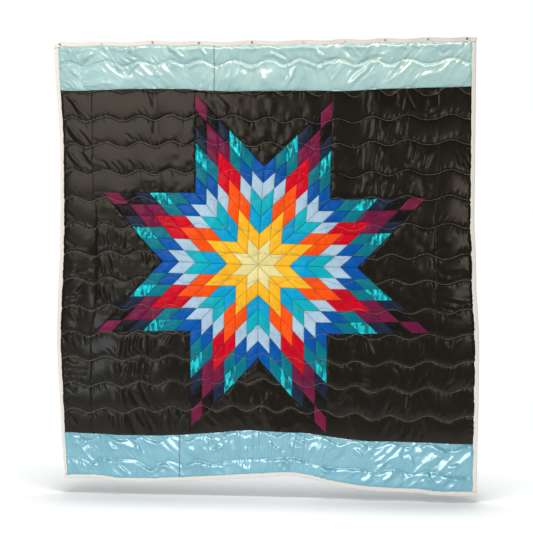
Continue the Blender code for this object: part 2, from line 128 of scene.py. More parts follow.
# Across shifts of upright lines of the flat pattern, each (height m, shift mm) from the top
ACROSS = (
    ("left edge", -HALF_WIDE, ((1.00, -2), (0.80, 6), (0.66, 18), (0.52, 26), (0.30, 29), (0.07, 27),
                               (-0.16, 17), (-0.34, 12), (-0.62, 25), (-0.80, 34), (-0.98, 48))),
    ("left seam", -SEAM, ((0.79, 6), (0.57, 10), (0.34, 15), (0.20, 32), (-0.07, 32), (-0.23, 20),
                          (-0.34, 5), (-0.76, 5))),
    ("left tips", -TIP, ((0.305, 31), (-0.305, -4))),
    ("left notches", -NOTCH, ((0.736, 19), (0.305, 22), (-0.305, -3), (-0.736, 2))),
    ("middle", 0.0, ((0.431, 25), (0.0, 0), (-0.431, -3))),
    ("right notches", NOTCH, ((0.736, 23), (0.305, 13), (-0.305, 0), (-0.736, -7))),
    ("right tips", TIP, ((0.305, -2), (-0.305, 12))),
    ("right seam", SEAM, ((0.76, 20), (0.55, 20), (0.37, 16), (0.22, 4), (-0.15, 4), (-0.31, 14),
                          (-0.50, 16), (-0.78, 14))),
    ("right edge", HALF_WIDE, ((1.00, 20), (0.76, 18), (0.50, 15), (0.20, 12), (0.07, 17), (-0.11, 21),
                               (-0.24, 28), (-0.37, 32), (-0.59, 30), (-0.76, 26), (-1.00, 22))),
)

# Up shifts of level lines of the flat pattern, each (across m, shift mm) from the left
UP = (
    ("foot edge", -HALF_TALL, ((-0.93, 17), (-0.75, 21), (-0.65, 11), (-0.55, 8), (-0.39, 15),
                               (-0.19, 27), (0.02, 43), (0.14, 51), (0.22, 42), (0.36, 11), (0.47, -4),
                               (0.62, -12), (0.70, -13), (0.76, -20), (0.93, -21))),
    ("foot seam", -SEAM, ((-0.90, 8), (-0.77, 5), (-0.49, 0), (-0.26, 13), (0.07, 37), (0.19, 34),
                          (0.25, 19), (0.36, 5), (0.49, -6), (0.80, -11), (0.93, -16))),
    ("lower tips", -TIP, ((-0.305, 15), (0.305, -9))),
    ("lower notches", -NOTCH, ((-0.736, 1), (-0.305, 10), (0.0, 8), (0.305, 0), (0.736, 8))),
    ("middle", 0.0, ((-0.431, 18), (0.0, 0), (0.431, -11))),
    ("upper notches", NOTCH, ((-0.736, 23), (-0.305, 19), (0.0, 6), (0.305, -16), (0.736, -13))),
    ("upper tips", TIP, ((-0.305, 33), (0.305, -15))),
    ("head seam", SEAM, ((-0.93, 27), (-0.82, 23), (-0.63, 27), (-0.36, 23), (-0.27, 15), (-0.14, 8),
                         (0.17, 6), (0.37, 0), (0.48, 4), (0.60, 7), (0.93, 10))),
    ("head edge", HALF_TALL, ((-0.933, 14), (-0.90, 27), (-0.72, 25), (-0.48, 24), (-0.27, 17),
                              (-0.03, 15), (0.20, 12), (0.56, 11), (0.74, 10), (0.93, 7))),
)

# Push pins from the left: across the flat pattern, name and colour of the head
PINS = (
    (-0.907, "grey_brown", "#A29589"),
    (-0.744, "white", "#EDECE7"),
    (-0.504, "brown", "#AA8161"),
    (-0.288, "brown", "#AA8161"),
    (-0.054, "rust", "#AA7659"),
    (0.172, "white", "#EDECE7"),
    (0.356, "white", "#EDECE7"),
    (0.550, "orange", "#DD9550"),
    (0.743, "mauve", "#A699A2"),
    (0.892, "dark_grey", "#616165"),
)
PIN_DROP = 0.0100                               # pin below the fold of the tape
PIN_SAG = 0.038                                 # sag between two pins over their distance
SAG_REACH = 0.16                                # depth over which the sag dies away
LEAN = 0.007                                    # how far the edge leans out between pins

# Soft folds: name, upper end (across, height), lower end (across, height), half width, rise
FOLDS = (
    ("upper right fold", (0.530, 0.760), (0.500, 0.200), 0.055, 0.0080),
    ("right of it", (0.670, 0.700), (0.660, -0.100), 0.060, 0.0060),
    ("beside the right tips", (0.820, 0.500), (0.840, -0.500), 0.075, 0.0070),
    ("upper left fold", (-0.520, 0.740), (-0.500, 0.350), 0.060, 0.0050),
    ("left border swell", (-0.870, 0.450), (-0.860, -0.350), 0.065, 0.0070),
    ("lower left fold", (-0.600, -0.350), (-0.640, -0.950), 0.065, 0.0070),
    ("lower middle swell", (0.060, -0.600), (0.120, -0.985), 0.090, 0.0090),
    ("lower right fold", (0.420, -0.450), (0.480, -0.980), 0.070, 0.0080),
    ("right foot swell", (0.760, -0.600), (0.790, -0.980), 0.070, 0.0070),
    ("star left swell", (-0.300, 0.400), (-0.340, -0.400), 0.110, 0.0060),
    ("star right swell", (0.240, 0.450), (0.260, -0.300), 0.110, 0.0060),
)


def smooth_curve(knots, values, at):
    """Smooth curve through the knots that never overshoots them."""
    knots = np.asarray(knots, float)
    values = np.asarray(values, float)
    at = np.clip(np.asarray(at, float), knots[0], knots[-1])
    spans = np.diff(knots)[:, None] if values.ndim > 1 else np.diff(knots)
    rises = np.diff(values, axis=0) / spans
    slopes = np.zeros_like(values)
    product = rises[:-1] * rises[1:]
    total = rises[:-1] + rises[1:]
    slopes[1:-1] = np.where(product > 0, 2 * product / np.where(product > 0, total, 1.0), 0.0)
    slopes[0] = rises[0]
    slopes[-1] = rises[-1]
    place = np.clip(np.searchsorted(knots, at, side="right") - 1, 0, len(knots) - 2)
    width = knots[place + 1] - knots[place]
    part = (at - knots[place]) / width
    if values.ndim > 1:
        column = np.arange(values.shape[1])
        low, high = values[place, column], values[place + 1, column]
        start, end = slopes[place, column], slopes[place + 1, column]
    else:
        low, high = values[place], values[place + 1]
        start, end = slopes[place], slopes[place + 1]
    return (low * (1 + 2 * part) * (1 - part) ** 2 + high * part ** 2 * (3 - 2 * part)
            + width * (start * part * (1 - part) ** 2 - end * part ** 2 * (1 - part)))


def shift(lines, across, along):
    """Shift in metres from a set of lines that lie across one direction."""
    values = []
    for _, _, table in lines:
        knots = sorted(table)
        values.append(smooth_curve([k for k, _ in knots], [s for _, s in knots], along))
    return smooth_curve([line[1] for line in lines], np.array(values), across) / 1000.0


def ease(part):
    part = np.clip(part, 0.0, 1.0)
    return part * part * (3.0 - 2.0 * part)


def pin_spans(u):
    """Distance between the two pins beside u, and the part of the way between them."""
    posts = np.array([-HALF_WIDE - 0.05] + [pin[0] for pin in PINS] + [HALF_WIDE + 0.05])
    place = np.clip(np.searchsorted(posts, u, side="right") - 1, 0, len(posts) - 2)
    width = posts[place + 1] - posts[place]
    return width, (u - posts[place]) / width


def near_head(v):
    return 1.0 - ease((HALF_TALL - v) / SAG_REACH)


def fold_depth(u, v):
    """How far the soft folds bring the cloth forward."""
    out = np.zeros_like(u)
    for _, (u_top, v_top), (u_low, v_low), width, rise in FOLDS:
        part = (v_top - v) / (v_top - v_low)
        middle = u_top + (u_low - u_top) * part
        ends = ease((v_top + width - v) / (2 * width)) * ease((v - v_low + width) / (2 * width))
        out += rise * ends * np.exp(-((u - middle) / width) ** 2)
    width, part = pin_spans(u)
    out += LEAN * np.sin(np.pi * part) ** 2 * near_head(v) * np.clip(width / 0.2, 0.3, 1.0)
    return out


def pulled(u, v):
    """How far the quilting has drawn each place to the right and up."""
    right = np.zeros(np.broadcast(u, v).shape)
    up = np.zeros(np.broadcast(u, v).shape)
    for across, height, reach_across, reach_up, moved_right, moved_up in PULLS:
        share = np.exp(-((u - across) / reach_across) ** 2 - ((v - height) / reach_up) ** 2)
        right += moved_right * share
        up += moved_up * share
    return right, up


def hang(u, v, forward):
    """Flat pattern place and distance in front of the cloth's middle, as a hung place."""
    u = np.asarray(u, float)
    v = np.asarray(v, float)
    width, part = pin_spans(u)
    sag = PIN_SAG * width * np.sin(np.pi * part) ** 2 * near_head(v)
    right, up = pulled(u, v)
    x = u + STAR_X + shift(ACROSS, u, v) + right
    z = v + STAR_Z + shift(UP, v, u) - sag + up
    y = -fold_depth(u, v) - forward
    return np.stack([x, y, z], axis=-1)


def row_wave(u, level):
    """Rise and fall of a quilting row; rows between the two sets take a share of each."""
    share = np.clip((level - LOWER_ROWS) / (UPPER_ROWS - LOWER_ROWS), 0.0, 1.0)
    upper = smooth_curve(np.divide(UPPER_CRESTS, 1000.0), np.arange(len(UPPER_CRESTS)), u)
    lower = smooth_curve(np.divide(LOWER_CRESTS, 1000.0), np.arange(len(LOWER_CRESTS)), u)
    return WAVE_TALL * (share * np.cos(2 * np.pi * upper) + (1.0 - share) * np.cos(2 * np.pi * lower))


# Relief of the quilted satin
CELL = 0.0038                                   # front mesh cell
SEAM_CLOSE = 0.0012                             # extra mesh row beside each seam
SEAM_DEEP = 0.0004                              # groove where two pieces meet, outside the star
PAINTED_SEAM_HALF_WIDE = 0.0014                              # half width of the painted shade line where two pieces meet
PAINTED_SEAM_SHADE = "#D2CECC"                          # painted shade of the seam groove: what the line leaves of the satin's colour
# Lowest sewn row: across, height (mm)
FOOT_LINE = ((-876, -885), (-769, -918), (-705, -879), (-568, -880), (-478, -922), (-411, -887),
             (-343, -907), (-284, -891), (-193, -916), (-133, -901), (18, -903), (150, -897), (249, -914),
             (367, -906), (444, -894), (519, -909), (581, -888), (667, -907), (737, -889), (839, -904))
LATTICE = 256                                   # size of the noise tables
JOINS = (-0.221, -0.360)                        # joins in the head band and the foot band, across
GROOVE_WIDE = 0.0022
STITCH_DEEP = 0.0012                            # dip along a sewn row
STITCH_WIDE = 0.0040
TAPE_PUCKER = 0.0013                            # pucker of the cloth beside the tape
CRUMPLE = {"foot": (0.0050, 0.0016), "head": (0.0026, 0.0009)}  # broad and small bulges of each band
CRUMPLE_SLANT = 0.9                             # lean of the bulges outwards, over their height
BAND_EDGE = 0.0040                              # a band's relief sets in over this on each side of its seam
PLUMP = {"foot": 0.0036, "head": 0.0026}        # fold of each band below a sewn row
PLUMP_DOWN = 0.015                              # that fold below the row
PLUMP_WIDE = 0.010
PUCKERS = (0.0026, 0.0014, 0.0018)              # in the star: sharp ones, lift of a patch, soft ones
PUCKER_REACH = 0.016
# Noises of the relief: reach across and up (m), seed
NOISES = {
    "swell": (0.11, 0.10, 3),
    "broad swell": (0.15, 0.20, 12),
    "less broad swell": (0.05, 0.07, 13),
    "lean of the tucks": (0.20, 0.20, 14),
    "patches of tucks": (0.13, 0.09, 18),
    "sharp puckers": (0.018, 0.018, 33),
    "soft puckers": (0.03, 0.03, 34),
    "plump fold": (0.045, 0.5, 37),
    "height of the plump fold": (0.03, 1.0, 38),
}
PLAIN_BACK = 0.0013                             # back of a panel behind the middle of the sheet
BACKING_CELLS = (104, 112)
BACKING_NEAR = 0.0029                           # faces of the backing behind the middle of the sheet
BACKING_FAR = 0.0035
KEY = 2e-5                                      # points closer than this are one point

# Tucks drawn in by the sewing, above and below each row
TUCK_APART = 0.028                              # middle to middle
TUCK_WIDE = 0.0068                              # half width where a tuck has opened out
TUCK_LONG = 0.062                               # the longest
TUCK_DEEP = 0.0032

# Main creases by region: name, weight, rows of (upper end across, height; lower end across, height;
# half width, all mm; rise in tenths of a mm, negative for a valley)
CREASES = (
    ("head band", 1.1, (
        (-439, 969, -353, 910, 8, 34), (-289, 969, -255, 923, 7, 30), (-599, 970, -613, 940, 7, 28),
        (-738, 972, -715, 939, 7, 26), (-766, 943, -803, 900, 10, 26), (-579, 887, -619, 841, 9, 40),
        (-679, 887, -653, 854, 8, 30), (-492, 839, -465, 823, 7, 26), (-861, 860, -823, 838, 8, 26),
        (-619, 936, -579, 911, 8, -26), (-747, 913, -809, 883, 9, -24), (-340, 886, -289, 903, 9, -26),
        (-878, 962, -859, 944, 7, 22), (-798, 783, -746, 804, 9, 24), (-746, 804, -699, 788, 9, 22),
        (207, 962, 263, 912, 10, 34), (197, 894, 237, 865, 9, 28), (145, 878, 99, 784, 9, 34),
        (289, 888, 243, 852, 9, 26), (500, 892, 369, 778, 10, 38), (53, 943, 119, 892, 8, -30),
        (20, 942, 106, 896, 7, 26), (-12, 910, 53, 914, 8, -30), (269, 895, 329, 906, 8, -30),
        (445, 885, 479, 910, 8, -34), (479, 910, 549, 903, 8, -28), (759, 976, 785, 913, 9, -32),
        (785, 913, 823, 943, 8, -24), (625, 964, 652, 943, 6, 24), (679, 966, 705, 944, 6, 24),
        (876, 967, 870, 942, 7, 26), (349, 958, 403, 902, 8, -24), (376, 964, 431, 909, 7, 24),
    )),
    ("upper left", 0.8, (
        (-499, 752, -499, 673, 9, -26), (-493, 618, -490, 556, 9, -26), (-873, 730, -801, 647, 9, 30),
        (-893, 737, -842, 654, 8, -26), (-895, 604, -811, 529, 9, 32), (-837, 591, -770, 510, 8, -34),
        (-897, 573, -854, 529, 7, -22), (-633, 564, -593, 526, 7, -24), (-892, 493, -813, 411, 9, 34),
        (-847, 498, -772, 417, 8, -30), (-811, 504, -757, 429, 9, 26), (-738, 447, -705, 404, 7, -26),
        (-699, 441, -659, 398, 7, -26), (-673, 459, -613, 398, 8, 24), (-620, 453, -593, 404, 7, -26),
        (-214, 732, -147, 661, 12, 22),
    )),
    ("upper right", 0.9, (
        (472, 763, 467, 689, 8, -36), (530, 662, 527, 598, 9, -38), (527, 604, 535, 546, 9, -34),
        (629, 748, 608, 713, 9, 34), (645, 767, 625, 687, 7, -30), (649, 767, 692, 686, 7, -28),
        (759, 744, 746, 678, 9, 44), (762, 759, 762, 704, 7, -32), (731, 753, 718, 711, 9, -22),
        (488, 650, 476, 573, 9, -28), (565, 636, 545, 559, 9, 26), (626, 648, 619, 584, 9, 34),
        (653, 654, 640, 570, 9, -24), (686, 550, 666, 467, 10, 38), (746, 511, 731, 433, 9, 36),
        (712, 543, 705, 466, 8, -24), (450, 535, 445, 425, 8, -24), (532, 540, 520, 398, 9, -40),
        (559, 533, 553, 429, 9, 24), (850, 516, 871, 438, 8, -28), (876, 490, 903, 431, 8, 24),
    )),
    ("middle", 0.8, (
        (418, 378, 405, 326, 8, -26), (466, 384, 453, 319, 8, 24), (520, 383, 524, 318, 9, -36),
        (567, 376, 547, 318, 8, -28), (587, 382, 581, 324, 8, 24), (673, 374, 653, 316, 9, 28),
        (731, 380, 750, 347, 10, 22), (829, 101, 775, 76, 12, -26), (857, -35, 775, -29, 12, -26),
        (794, -153, 888, -174, 11, -30), (774, -196, 874, -223, 11, 34), (782, -90, 834, -83, 12, 22),
        (-715, 130, -695, 67, 10, 24), (-669, 136, -652, 61, 9, -24), (-609, 117, -619, 67, 10, 24),
        (-760, 124, -749, 61, 9, -26), (-728, 24, -706, -68, 10, 34), (-756, 11, -736, -74, 8, -34),
        (-696, 30, -671, -50, 9, -28), (-514, 36, -505, -8, 9, 34), (-721, -98, -697, -181, 10, 36),
        (-734, -104, -733, -175, 8, -32), (-682, -98, -644, -176, 9, -26),
        (-896, -157, -830, -145, 8, -26), (-883, -56, -791, -44, 10, -30), (-906, 219, -855, 181, 9, -22),
        (-905, 99, -860, 68, 9, -26), (-875, -217, -840, -253, 9, 26), (-833, -98, -873, -134, 8, 22),
    )),
    ("lower left", 0.9, (
        (-600, -324, -606, -427, 10, 36), (-561, -324, -568, -402, 9, 34),
        (-580, -324, -587, -421, 7, -24), (-532, -319, -539, -389, 8, 30),
        (-490, -332, -484, -422, 9, -42), (-394, -333, -414, -378, 9, 24), (-331, -321, -312, -378, 8, 26),
        (-529, -428, -552, -519, 11, 44), (-497, -448, -504, -519, 8, -32),
        (-574, -454, -613, -539, 10, 34), (-638, -446, -626, -493, 10, 24),
        (-597, -447, -561, -428, 7, -22), (-552, -552, -502, -662, 11, 44),
        (-587, -565, -537, -656, 9, -36), (-619, -559, -616, -657, 13, 28),
        (-664, -690, -658, -757, 8, 30), (-613, -683, -601, -758, 9, 34), (-563, -682, -512, -759, 9, 42),
        (-588, -689, -556, -755, 8, -28), (-499, -700, -478, -762, 10, -36),
        (-379, -667, -367, -698, 9, 34), (-319, -685, -364, -758, 8, 32), (-310, -710, -336, -761, 7, 28),
        (-417, -699, -405, -755, 9, 22), (-890, -460, -778, -465, 7, 34), (-904, -475, -774, -474, 5, -44),
        (-877, -492, -785, -493, 7, 32), (-882, -430, -834, -450, 7, 26), (-887, -547, -845, -580, 8, 32),
        (-912, -615, -899, -654, 8, 24), (-885, -687, -849, -738, 9, 32), (-880, -322, -840, -380, 10, 28),
    )),
    ("lower right", 0.9, (
        (496, -328, 522, -410, 8, -34), (461, -334, 478, -404, 8, 26), (421, -346, 403, -403, 9, 26),
        (446, -327, 422, -397, 8, -22), (576, -329, 559, -411, 8, -26), (601, -329, 584, -411, 9, 22),
        (632, -330, 623, -411, 8, -22), (711, -331, 706, -412, 9, -34), (852, -327, 816, -397, 9, 36),
        (797, -337, 811, -375, 8, 26), (360, -454, 423, -466, 10, 24), (461, -510, 486, -510, 10, 24),
        (596, -442, 621, -498, 9, -26), (669, -443, 645, -528, 9, 32), (730, -441, 700, -538, 9, -36),
        (747, -444, 742, -536, 9, 24), (839, -443, 810, -518, 9, 38), (424, -548, 394, -604, 9, -24),
        (399, -554, 362, -605, 10, 22), (512, -560, 518, -653, 8, -26), (561, -566, 549, -640, 9, 24),
        (591, -547, 573, -628, 8, -28), (640, -553, 628, -643, 8, -30), (658, -553, 649, -639, 8, 28),
        (682, -559, 676, -639, 8, -24), (718, -560, 712, -649, 8, -30), (585, -671, 555, -759, 9, -34),
        (604, -671, 592, -755, 8, 24), (646, -677, 616, -758, 9, -22), (664, -676, 646, -753, 9, 28),
        (706, -664, 712, -755, 9, -32), (426, -680, 427, -764, 10, 22), (-122, -562, -110, -637, 11, 26),
        (5, -576, 11, -643, 10, -30), (-21, -589, -14, -638, 9, 24), (-65, -514, 11, -477, 10, 28),
        (-52, -529, 24, -501, 8, -24), (-233, -680, -188, -729, 10, -22), (49, -561, 49, -612, 10, 30),
        (82, -566, 82, -617, 9, -24), (167, -612, 207, -629, 10, -22), (36, -658, 49, -715, 11, 24),
        (82, -655, 96, -713, 11, -24), (29, -465, 75, -489, 10, -22),
    )),
    ("foot band", 1.25, (
        (-690, -800, -639, -837, 9, 44), (-550, -814, -519, -863, 10, 42), (-569, -776, -538, -814, 8, 30),
        (-162, -834, -214, -853, 9, 34), (-253, -790, -227, -826, 8, 34), (-677, -876, -665, -939, 8, 30),
        (-633, -904, -588, -954, 9, 46), (-550, -907, -563, -953, 10, 24), (-481, -929, -430, -904, 8, 40),
        (-430, -904, -399, -929, 8, 36), (-804, -792, -868, -834, 9, 34), (-821, -839, -735, -803, 9, -26),
        (-847, -895, -752, -921, 9, 30), (-336, -805, -278, -874, 14, 24), (-272, -901, -246, -936, 9, 30),
        (-195, -919, -156, -941, 9, 30), (-91, -913, -53, -953, 9, 28), (49, -830, 109, -879, 9, 40),
        (109, -876, 129, -834, 10, -34), (136, -816, 129, -903, 11, -38), (162, -807, 208, -829, 9, 36),
        (129, -910, 142, -958, 8, 40), (96, -923, 136, -944, 8, -26), (377, -804, 358, -854, 11, 28),
        (433, -810, 458, -833, 10, 28), (609, -774, 561, -833, 10, 42), (561, -833, 507, -868, 9, 36),
        (579, -852, 537, -905, 9, -32), (658, -830, 676, -880, 10, 30), (646, -811, 622, -831, 10, -28),
        (724, -789, 694, -819, 10, 40), (748, -776, 819, -822, 10, 36), (855, -854, 810, -872, 9, 46),
        (795, -835, 754, -868, 11, -26), (274, -913, 313, -930, 9, 30), (427, -909, 402, -939, 9, 30),
        (585, -899, 543, -956, 10, 34), (724, -902, 754, -936, 9, 34), (819, -908, 778, -947, 9, 28),
        (646, -919, 622, -958, 9, -24), (500, -933, 464, -956, 9, 26), (208, -901, 228, -938, 9, -22),
    )),
)


def soft_noise(x, y, seed):
    """Even noise from -1 to 1 on a unit lattice."""
    table = np.random.default_rng(seed).uniform(-1.0, 1.0, (LATTICE, LATTICE))
    left = np.floor(x).astype(int)
    low = np.floor(y).astype(int)
    part_x = ease(x - left)
    part_y = ease(y - low)
    corner = [[table[(left + i) % LATTICE, (low + j) % LATTICE] for j in (0, 1)] for i in (0, 1)]
    bottom = corner[0][0] * (1 - part_x) + corner[1][0] * part_x
    top = corner[0][1] * (1 - part_x) + corner[1][1] * part_x
    return bottom * (1 - part_y) + top * part_y


def row_line(index, u):
    """Height of one sewn row, with the small unevenness of a hand-guided machine."""
    if index == len(ROWS) - 1:
        across, heights = np.divide(FOOT_LINE, 1000.0).T
        return smooth_curve(across, heights, u)
    drift = 0.0018 * soft_noise(u / 0.09, np.full_like(u, 7.0 * index), 11)
    return smooth_curve(ROW_PLACES, ROWS[index], u) + row_wave(u, ROWS[index][1]) + drift


def channels(u, v):
    """Row above each point, and the distances to the row above and to the row below."""
    above = np.full_like(u, HALF_TALL)
    below = np.full_like(u, -HALF_TALL)
    number = np.zeros(len(u), int)
    for index in range(len(ROWS)):
        line = row_line(index, u)
        over = line >= v
        number += over
        above = np.where(over & (line < above), line, above)
        below = np.where(~over & (line > below), line, below)
    return number, np.maximum(above - v, 0.0), np.maximum(v - below, 0.0)


def creases(u, v):
    """Main creases of the cloth: rounded ridges and sharp valleys."""
    out = np.zeros_like(u)
    for _, weight, rows in CREASES:
        for row in rows:
            u_top, v_top, u_low, v_low, width = (value / 1000.0 for value in row[:5])
            rise = row[5] / 10000.0 * weight
            reach = 3.0 * width
            near = ((u > min(u_top, u_low) - reach) & (u < max(u_top, u_low) + reach)
                    & (v > min(v_top, v_low) - reach) & (v < max(v_top, v_low) + reach))
            if not near.any():
                continue
            long = math.hypot(u_low - u_top, v_low - v_top)
            across, down = (u_low - u_top) / long, (v_low - v_top) / long
            du, dv = u[near] - u_top, v[near] - v_top
            along = du * across + dv * down
            bow = 0.5 * width * soft_noise(along / 0.03 + u_top * 50, np.full_like(along, v_top * 50), 51)
            aside = (du * down - dv * across + bow) / width
            fade = 0.3 * long + width
            ends = ease((along + width) / fade) * ease((long + width - along) / fade)
            side = np.abs(aside) * np.where(aside > 0, 0.85, 1.2)
            shape = np.exp(-side ** 2) if rise > 0 else np.exp(-1.3 * side)
            out[near] += rise * ends * (shape - 0.3 * np.exp(-((side - 1.9) / 0.8) ** 2))
    return out


def tucks(u, height, row, lean, seed):
    """Short tucks that start at a sewn row and open out away from it."""
    pattern = np.random.default_rng(seed).uniform(-1.0, 1.0, (3, LATTICE, LATTICE))
    place = (u + lean * height) / TUCK_APART
    out = np.zeros_like(u)
    for step in (-1, 0, 1):
        cell = np.floor(place).astype(int) + step
        shift_by, longer, deeper = pattern[:, cell % LATTICE, (row * 5) % LATTICE]
        long = TUCK_LONG * (0.62 + 0.38 * longer)
        wide = TUCK_WIDE * (0.45 + 1.1 * np.clip(height / long, 0.0, 1.0))
        aside = np.abs(place - cell - 0.5 - 0.38 * shift_by) * TUCK_APART / wide
        shape = 0.55 * np.exp(-((aside - 1.8) / 0.9) ** 2) - np.exp(-aside ** 1.4)
        out += (0.45 + 0.55 * deeper) * shape * ease(1.0 - height / long)
    return TUCK_DEEP * out * ease(height / 0.006)


def ridges(x, y, seed):
    """Soft-topped ridges with narrow valleys, from 0 to 1."""
    return 1.0 - np.sqrt(soft_noise(x, y, seed) ** 2 + 0.012)


def noise(name, u, v):
    """One of the named noises of the relief."""
    across, up, seed = NOISES[name]
    return soft_noise(u / across, v / up, seed)


def band_crumple(u, v, row, below_row):
    """Crumples of the two light blue bands, and their plump fold below each sewn row."""
    head = ease((v - SEAM + BAND_EDGE) / (2 * BAND_EDGE))
    foot = ease((-SEAM - v + BAND_EDGE) / (2 * BAND_EDGE))
    slant = u - CRUMPLE_SLANT * v * np.clip(u / 0.3, -1.0, 1.0)
    bulges = ridges(slant / 0.050, v / 0.11, 21) ** 2 - 0.45
    small = ridges(slant / 0.022, v / 0.055, 23) ** 2 - 0.45
    foot_broad, foot_small = CRUMPLE["foot"]
    head_broad, head_small = CRUMPLE["head"]
    crumple = (foot * (foot_broad * bulges + foot_small * small)
               + head * (head_broad * bulges + head_small * small))
    under = np.where(row == 0, below_row - TAPE_WIDE, below_row)
    plump = foot * PLUMP["foot"] + head * PLUMP["head"]
    plump *= np.clip(0.6 + 1.3 * noise("plump fold", u, v), 0.1, 1.6)
    aside = under - PLUMP_DOWN - 0.004 * noise("height of the plump fold", u, v)
    crumple += plump * np.exp(-(aside / PLUMP_WIDE) ** 2)
    return crumple


def in_star(u, v):
    """1 over the star and 0 over the plain cloth round it."""
    outside = ease((np.abs(u) + np.abs(v) - 0.80) / 0.25)
    return 1.0 - outside * ease((np.maximum(np.abs(u), np.abs(v)) - 0.2) / 0.2)


def tape_pucker(u, v, rim):
    """Small even puckers of the cloth beside the tape."""
    along = np.where(HALF_WIDE - np.abs(u) < HALF_TALL - np.abs(v), v, u)
    beside_tape = np.exp(-np.abs(rim - TAPE_WIDE - 0.004) / 0.008)
    return TAPE_PUCKER * beside_tape * soft_noise(along / 0.011, along * 0.0, 71)


def relief(u, v, seam):
    """Rise of the front satin over a row of quilting; seam is the distance to the nearest seam."""
    row, below_row, above_row = channels(u, v)
    wide = np.maximum(below_row + above_row, 0.001)
    gap = np.minimum(below_row, above_row)
    part = above_row / wide
    star = in_star(u, v)
    foot = ease((-SEAM - v + BAND_EDGE) / (2 * BAND_EDGE))
    left = ease((-u - 0.2) / 0.4)
    strength = 0.95 + 0.25 * noise("swell", u, v)
    swell = PUFF * 1.15 * strength * np.sin(np.pi * part ** SWELL_LOW) ** SWELL_FLAT
    swell = swell * np.clip(wide / 0.11, 0.5, 1.1)
    lean = 0.9 * left - 0.25 * ease((u - 0.2) / 0.4) + 0.35 * noise("lean of the tucks", u, v)
    patchy = np.clip(0.75 + 0.7 * noise("patches of tucks", u, v), 0.15, 1.4)
    amount = patchy * (1.0 - 0.30 * star) * (1.0 + 0.35 * foot)
    sharp, lifted, soft = PUCKERS
    puckers = star * (sharp * np.exp(-seam / PUCKER_REACH) * noise("sharp puckers", u, v)
                      + lifted * ease(seam / 0.02) + soft * noise("soft puckers", u, v))
    drawn = tucks(u, above_row, row, lean, 61) + 0.75 * tucks(u, below_row, row + 40, -0.4 * lean, 62)
    broad = 0.0020 * noise("broad swell", u, v) + 0.0008 * noise("less broad swell", u, v)
    rise = swell + amount * drawn + broad + band_crumple(u, v, row, below_row) + puckers + creases(u, v)
    rim = np.minimum(HALF_WIDE - np.abs(u), HALF_TALL - np.abs(v))
    rise = rise * ease((rim - 0.010) / 0.020) * (0.96 + 0.04 * ease(seam / 0.006)) + tape_pucker(u, v, rim)
    groove = SEAM_DEEP * (1.0 + 4.0 * star) * np.exp(-seam / GROOVE_WIDE)
    stitched = STITCH_DEEP * np.exp(-(gap / STITCH_WIDE) ** 2)
    return np.maximum(rise - groove - stitched, -HALF_SHEET * 0.8)


def quads(index):
    """Faces of a grid of points, from the grid of their numbers."""
    return np.stack([index[:-1, :-1], index[1:, :-1], index[1:, 1:], index[:-1, 1:]], -1).reshape(-1, 4)


def keys(points):
    """Whole numbers that are the same for points at the same place."""
    return np.round(points / KEY).astype(np.int64)


def add_object(name, data):
    """Put a new object with this data in the scene."""
    made = bpy.data.objects.new(name, data)
    bpy.context.scene.collection.objects.link(made)
    return made


def cuts(length):
    """Even mesh steps along an edge, a multiple of four, with a close row at each end."""
    count = 4 * max(1, round(length / CELL / 4)) - 2
    inner = np.linspace(SEAM_CLOSE / length, 1 - SEAM_CLOSE / length, count + 1)
    return np.concatenate([[0.0], inner, [1.0]])


class Patch:
    """One cut piece of cloth in the flat pattern: four corners in turn, and which edges are seams."""

    def __init__(self, corners, slot=0, seams=(True, True, True, True)):
        self.corners = [np.array(corner, float) for corner in corners]
        self.slot = slot
        self.seams = seams

    def grid(self, along, across):
        a, b, c, d = self.corners
        s, t = np.meshgrid(along, across, indexing="ij")
        s, t = s[..., None], t[..., None]
        return a * (1 - s) * (1 - t) + b * s * (1 - t) + c * s * t + d * (1 - s) * t

    def seam_gap(self, points):
        gap = np.full(len(points), 1.0)
        for index, seam in enumerate(self.seams):
            start, end = self.corners[index], self.corners[(index + 1) % 4]
            long = np.linalg.norm(end - start)
            if seam and long > 1e-6:
                line = (end - start) / long
                gap = np.minimum(gap, np.abs((points - start) @ np.array((-line[1], line[0]))))
        return gap

    def steps(self):
        a, b, c, d = self.corners
        along = cuts(max(np.linalg.norm(b - a), np.linalg.norm(c - d)))
        across = cuts(max(np.linalg.norm(d - a), np.linalg.norm(c - b)))
        return along, across


def merged(patches, every):
    """Points, seam gaps, faces and slots of a panel's patches, with shared points joined."""
    points, gaps, faces, slots = [], [], [], []
    count = 0
    for patch in patches:
        along, across = patch.steps()
        grid = patch.grid(along[::every], across[::every])
        rows, columns = grid.shape[:2]
        flat = grid.reshape(-1, 2)
        index = count + np.arange(rows * columns).reshape(rows, columns)
        points.append(flat)
        gaps.append(patch.seam_gap(flat))
        faces.append(quads(index))
        slots.append(np.full((rows - 1) * (columns - 1), patch.slot))
        count += rows * columns
    points, gaps = np.concatenate(points), np.concatenate(gaps)
    _, first, place = np.unique(keys(points), axis=0, return_index=True, return_inverse=True)
    place = place.reshape(-1)
    least = np.full(len(first), 1.0)
    np.minimum.at(least, place, gaps)
    faces = [tuple(dict.fromkeys(face)) for face in place[np.concatenate(faces)].tolist()]
    kept = [(face, slot) for face, slot in zip(faces, np.concatenate(slots).tolist()) if len(face) > 2]
    return points[first], least, [face for face, _ in kept], [slot for _, slot in kept]


def rim_loop(faces):
    """Next point round the open edge of a sheet, for each point on it."""
    edges = set()
    for face in faces:
        for start, end in zip(face, face[1:] + face[:1]):
            edges.add((start, end))
    return {start: end for start, end in edges if (end, start) not in edges}


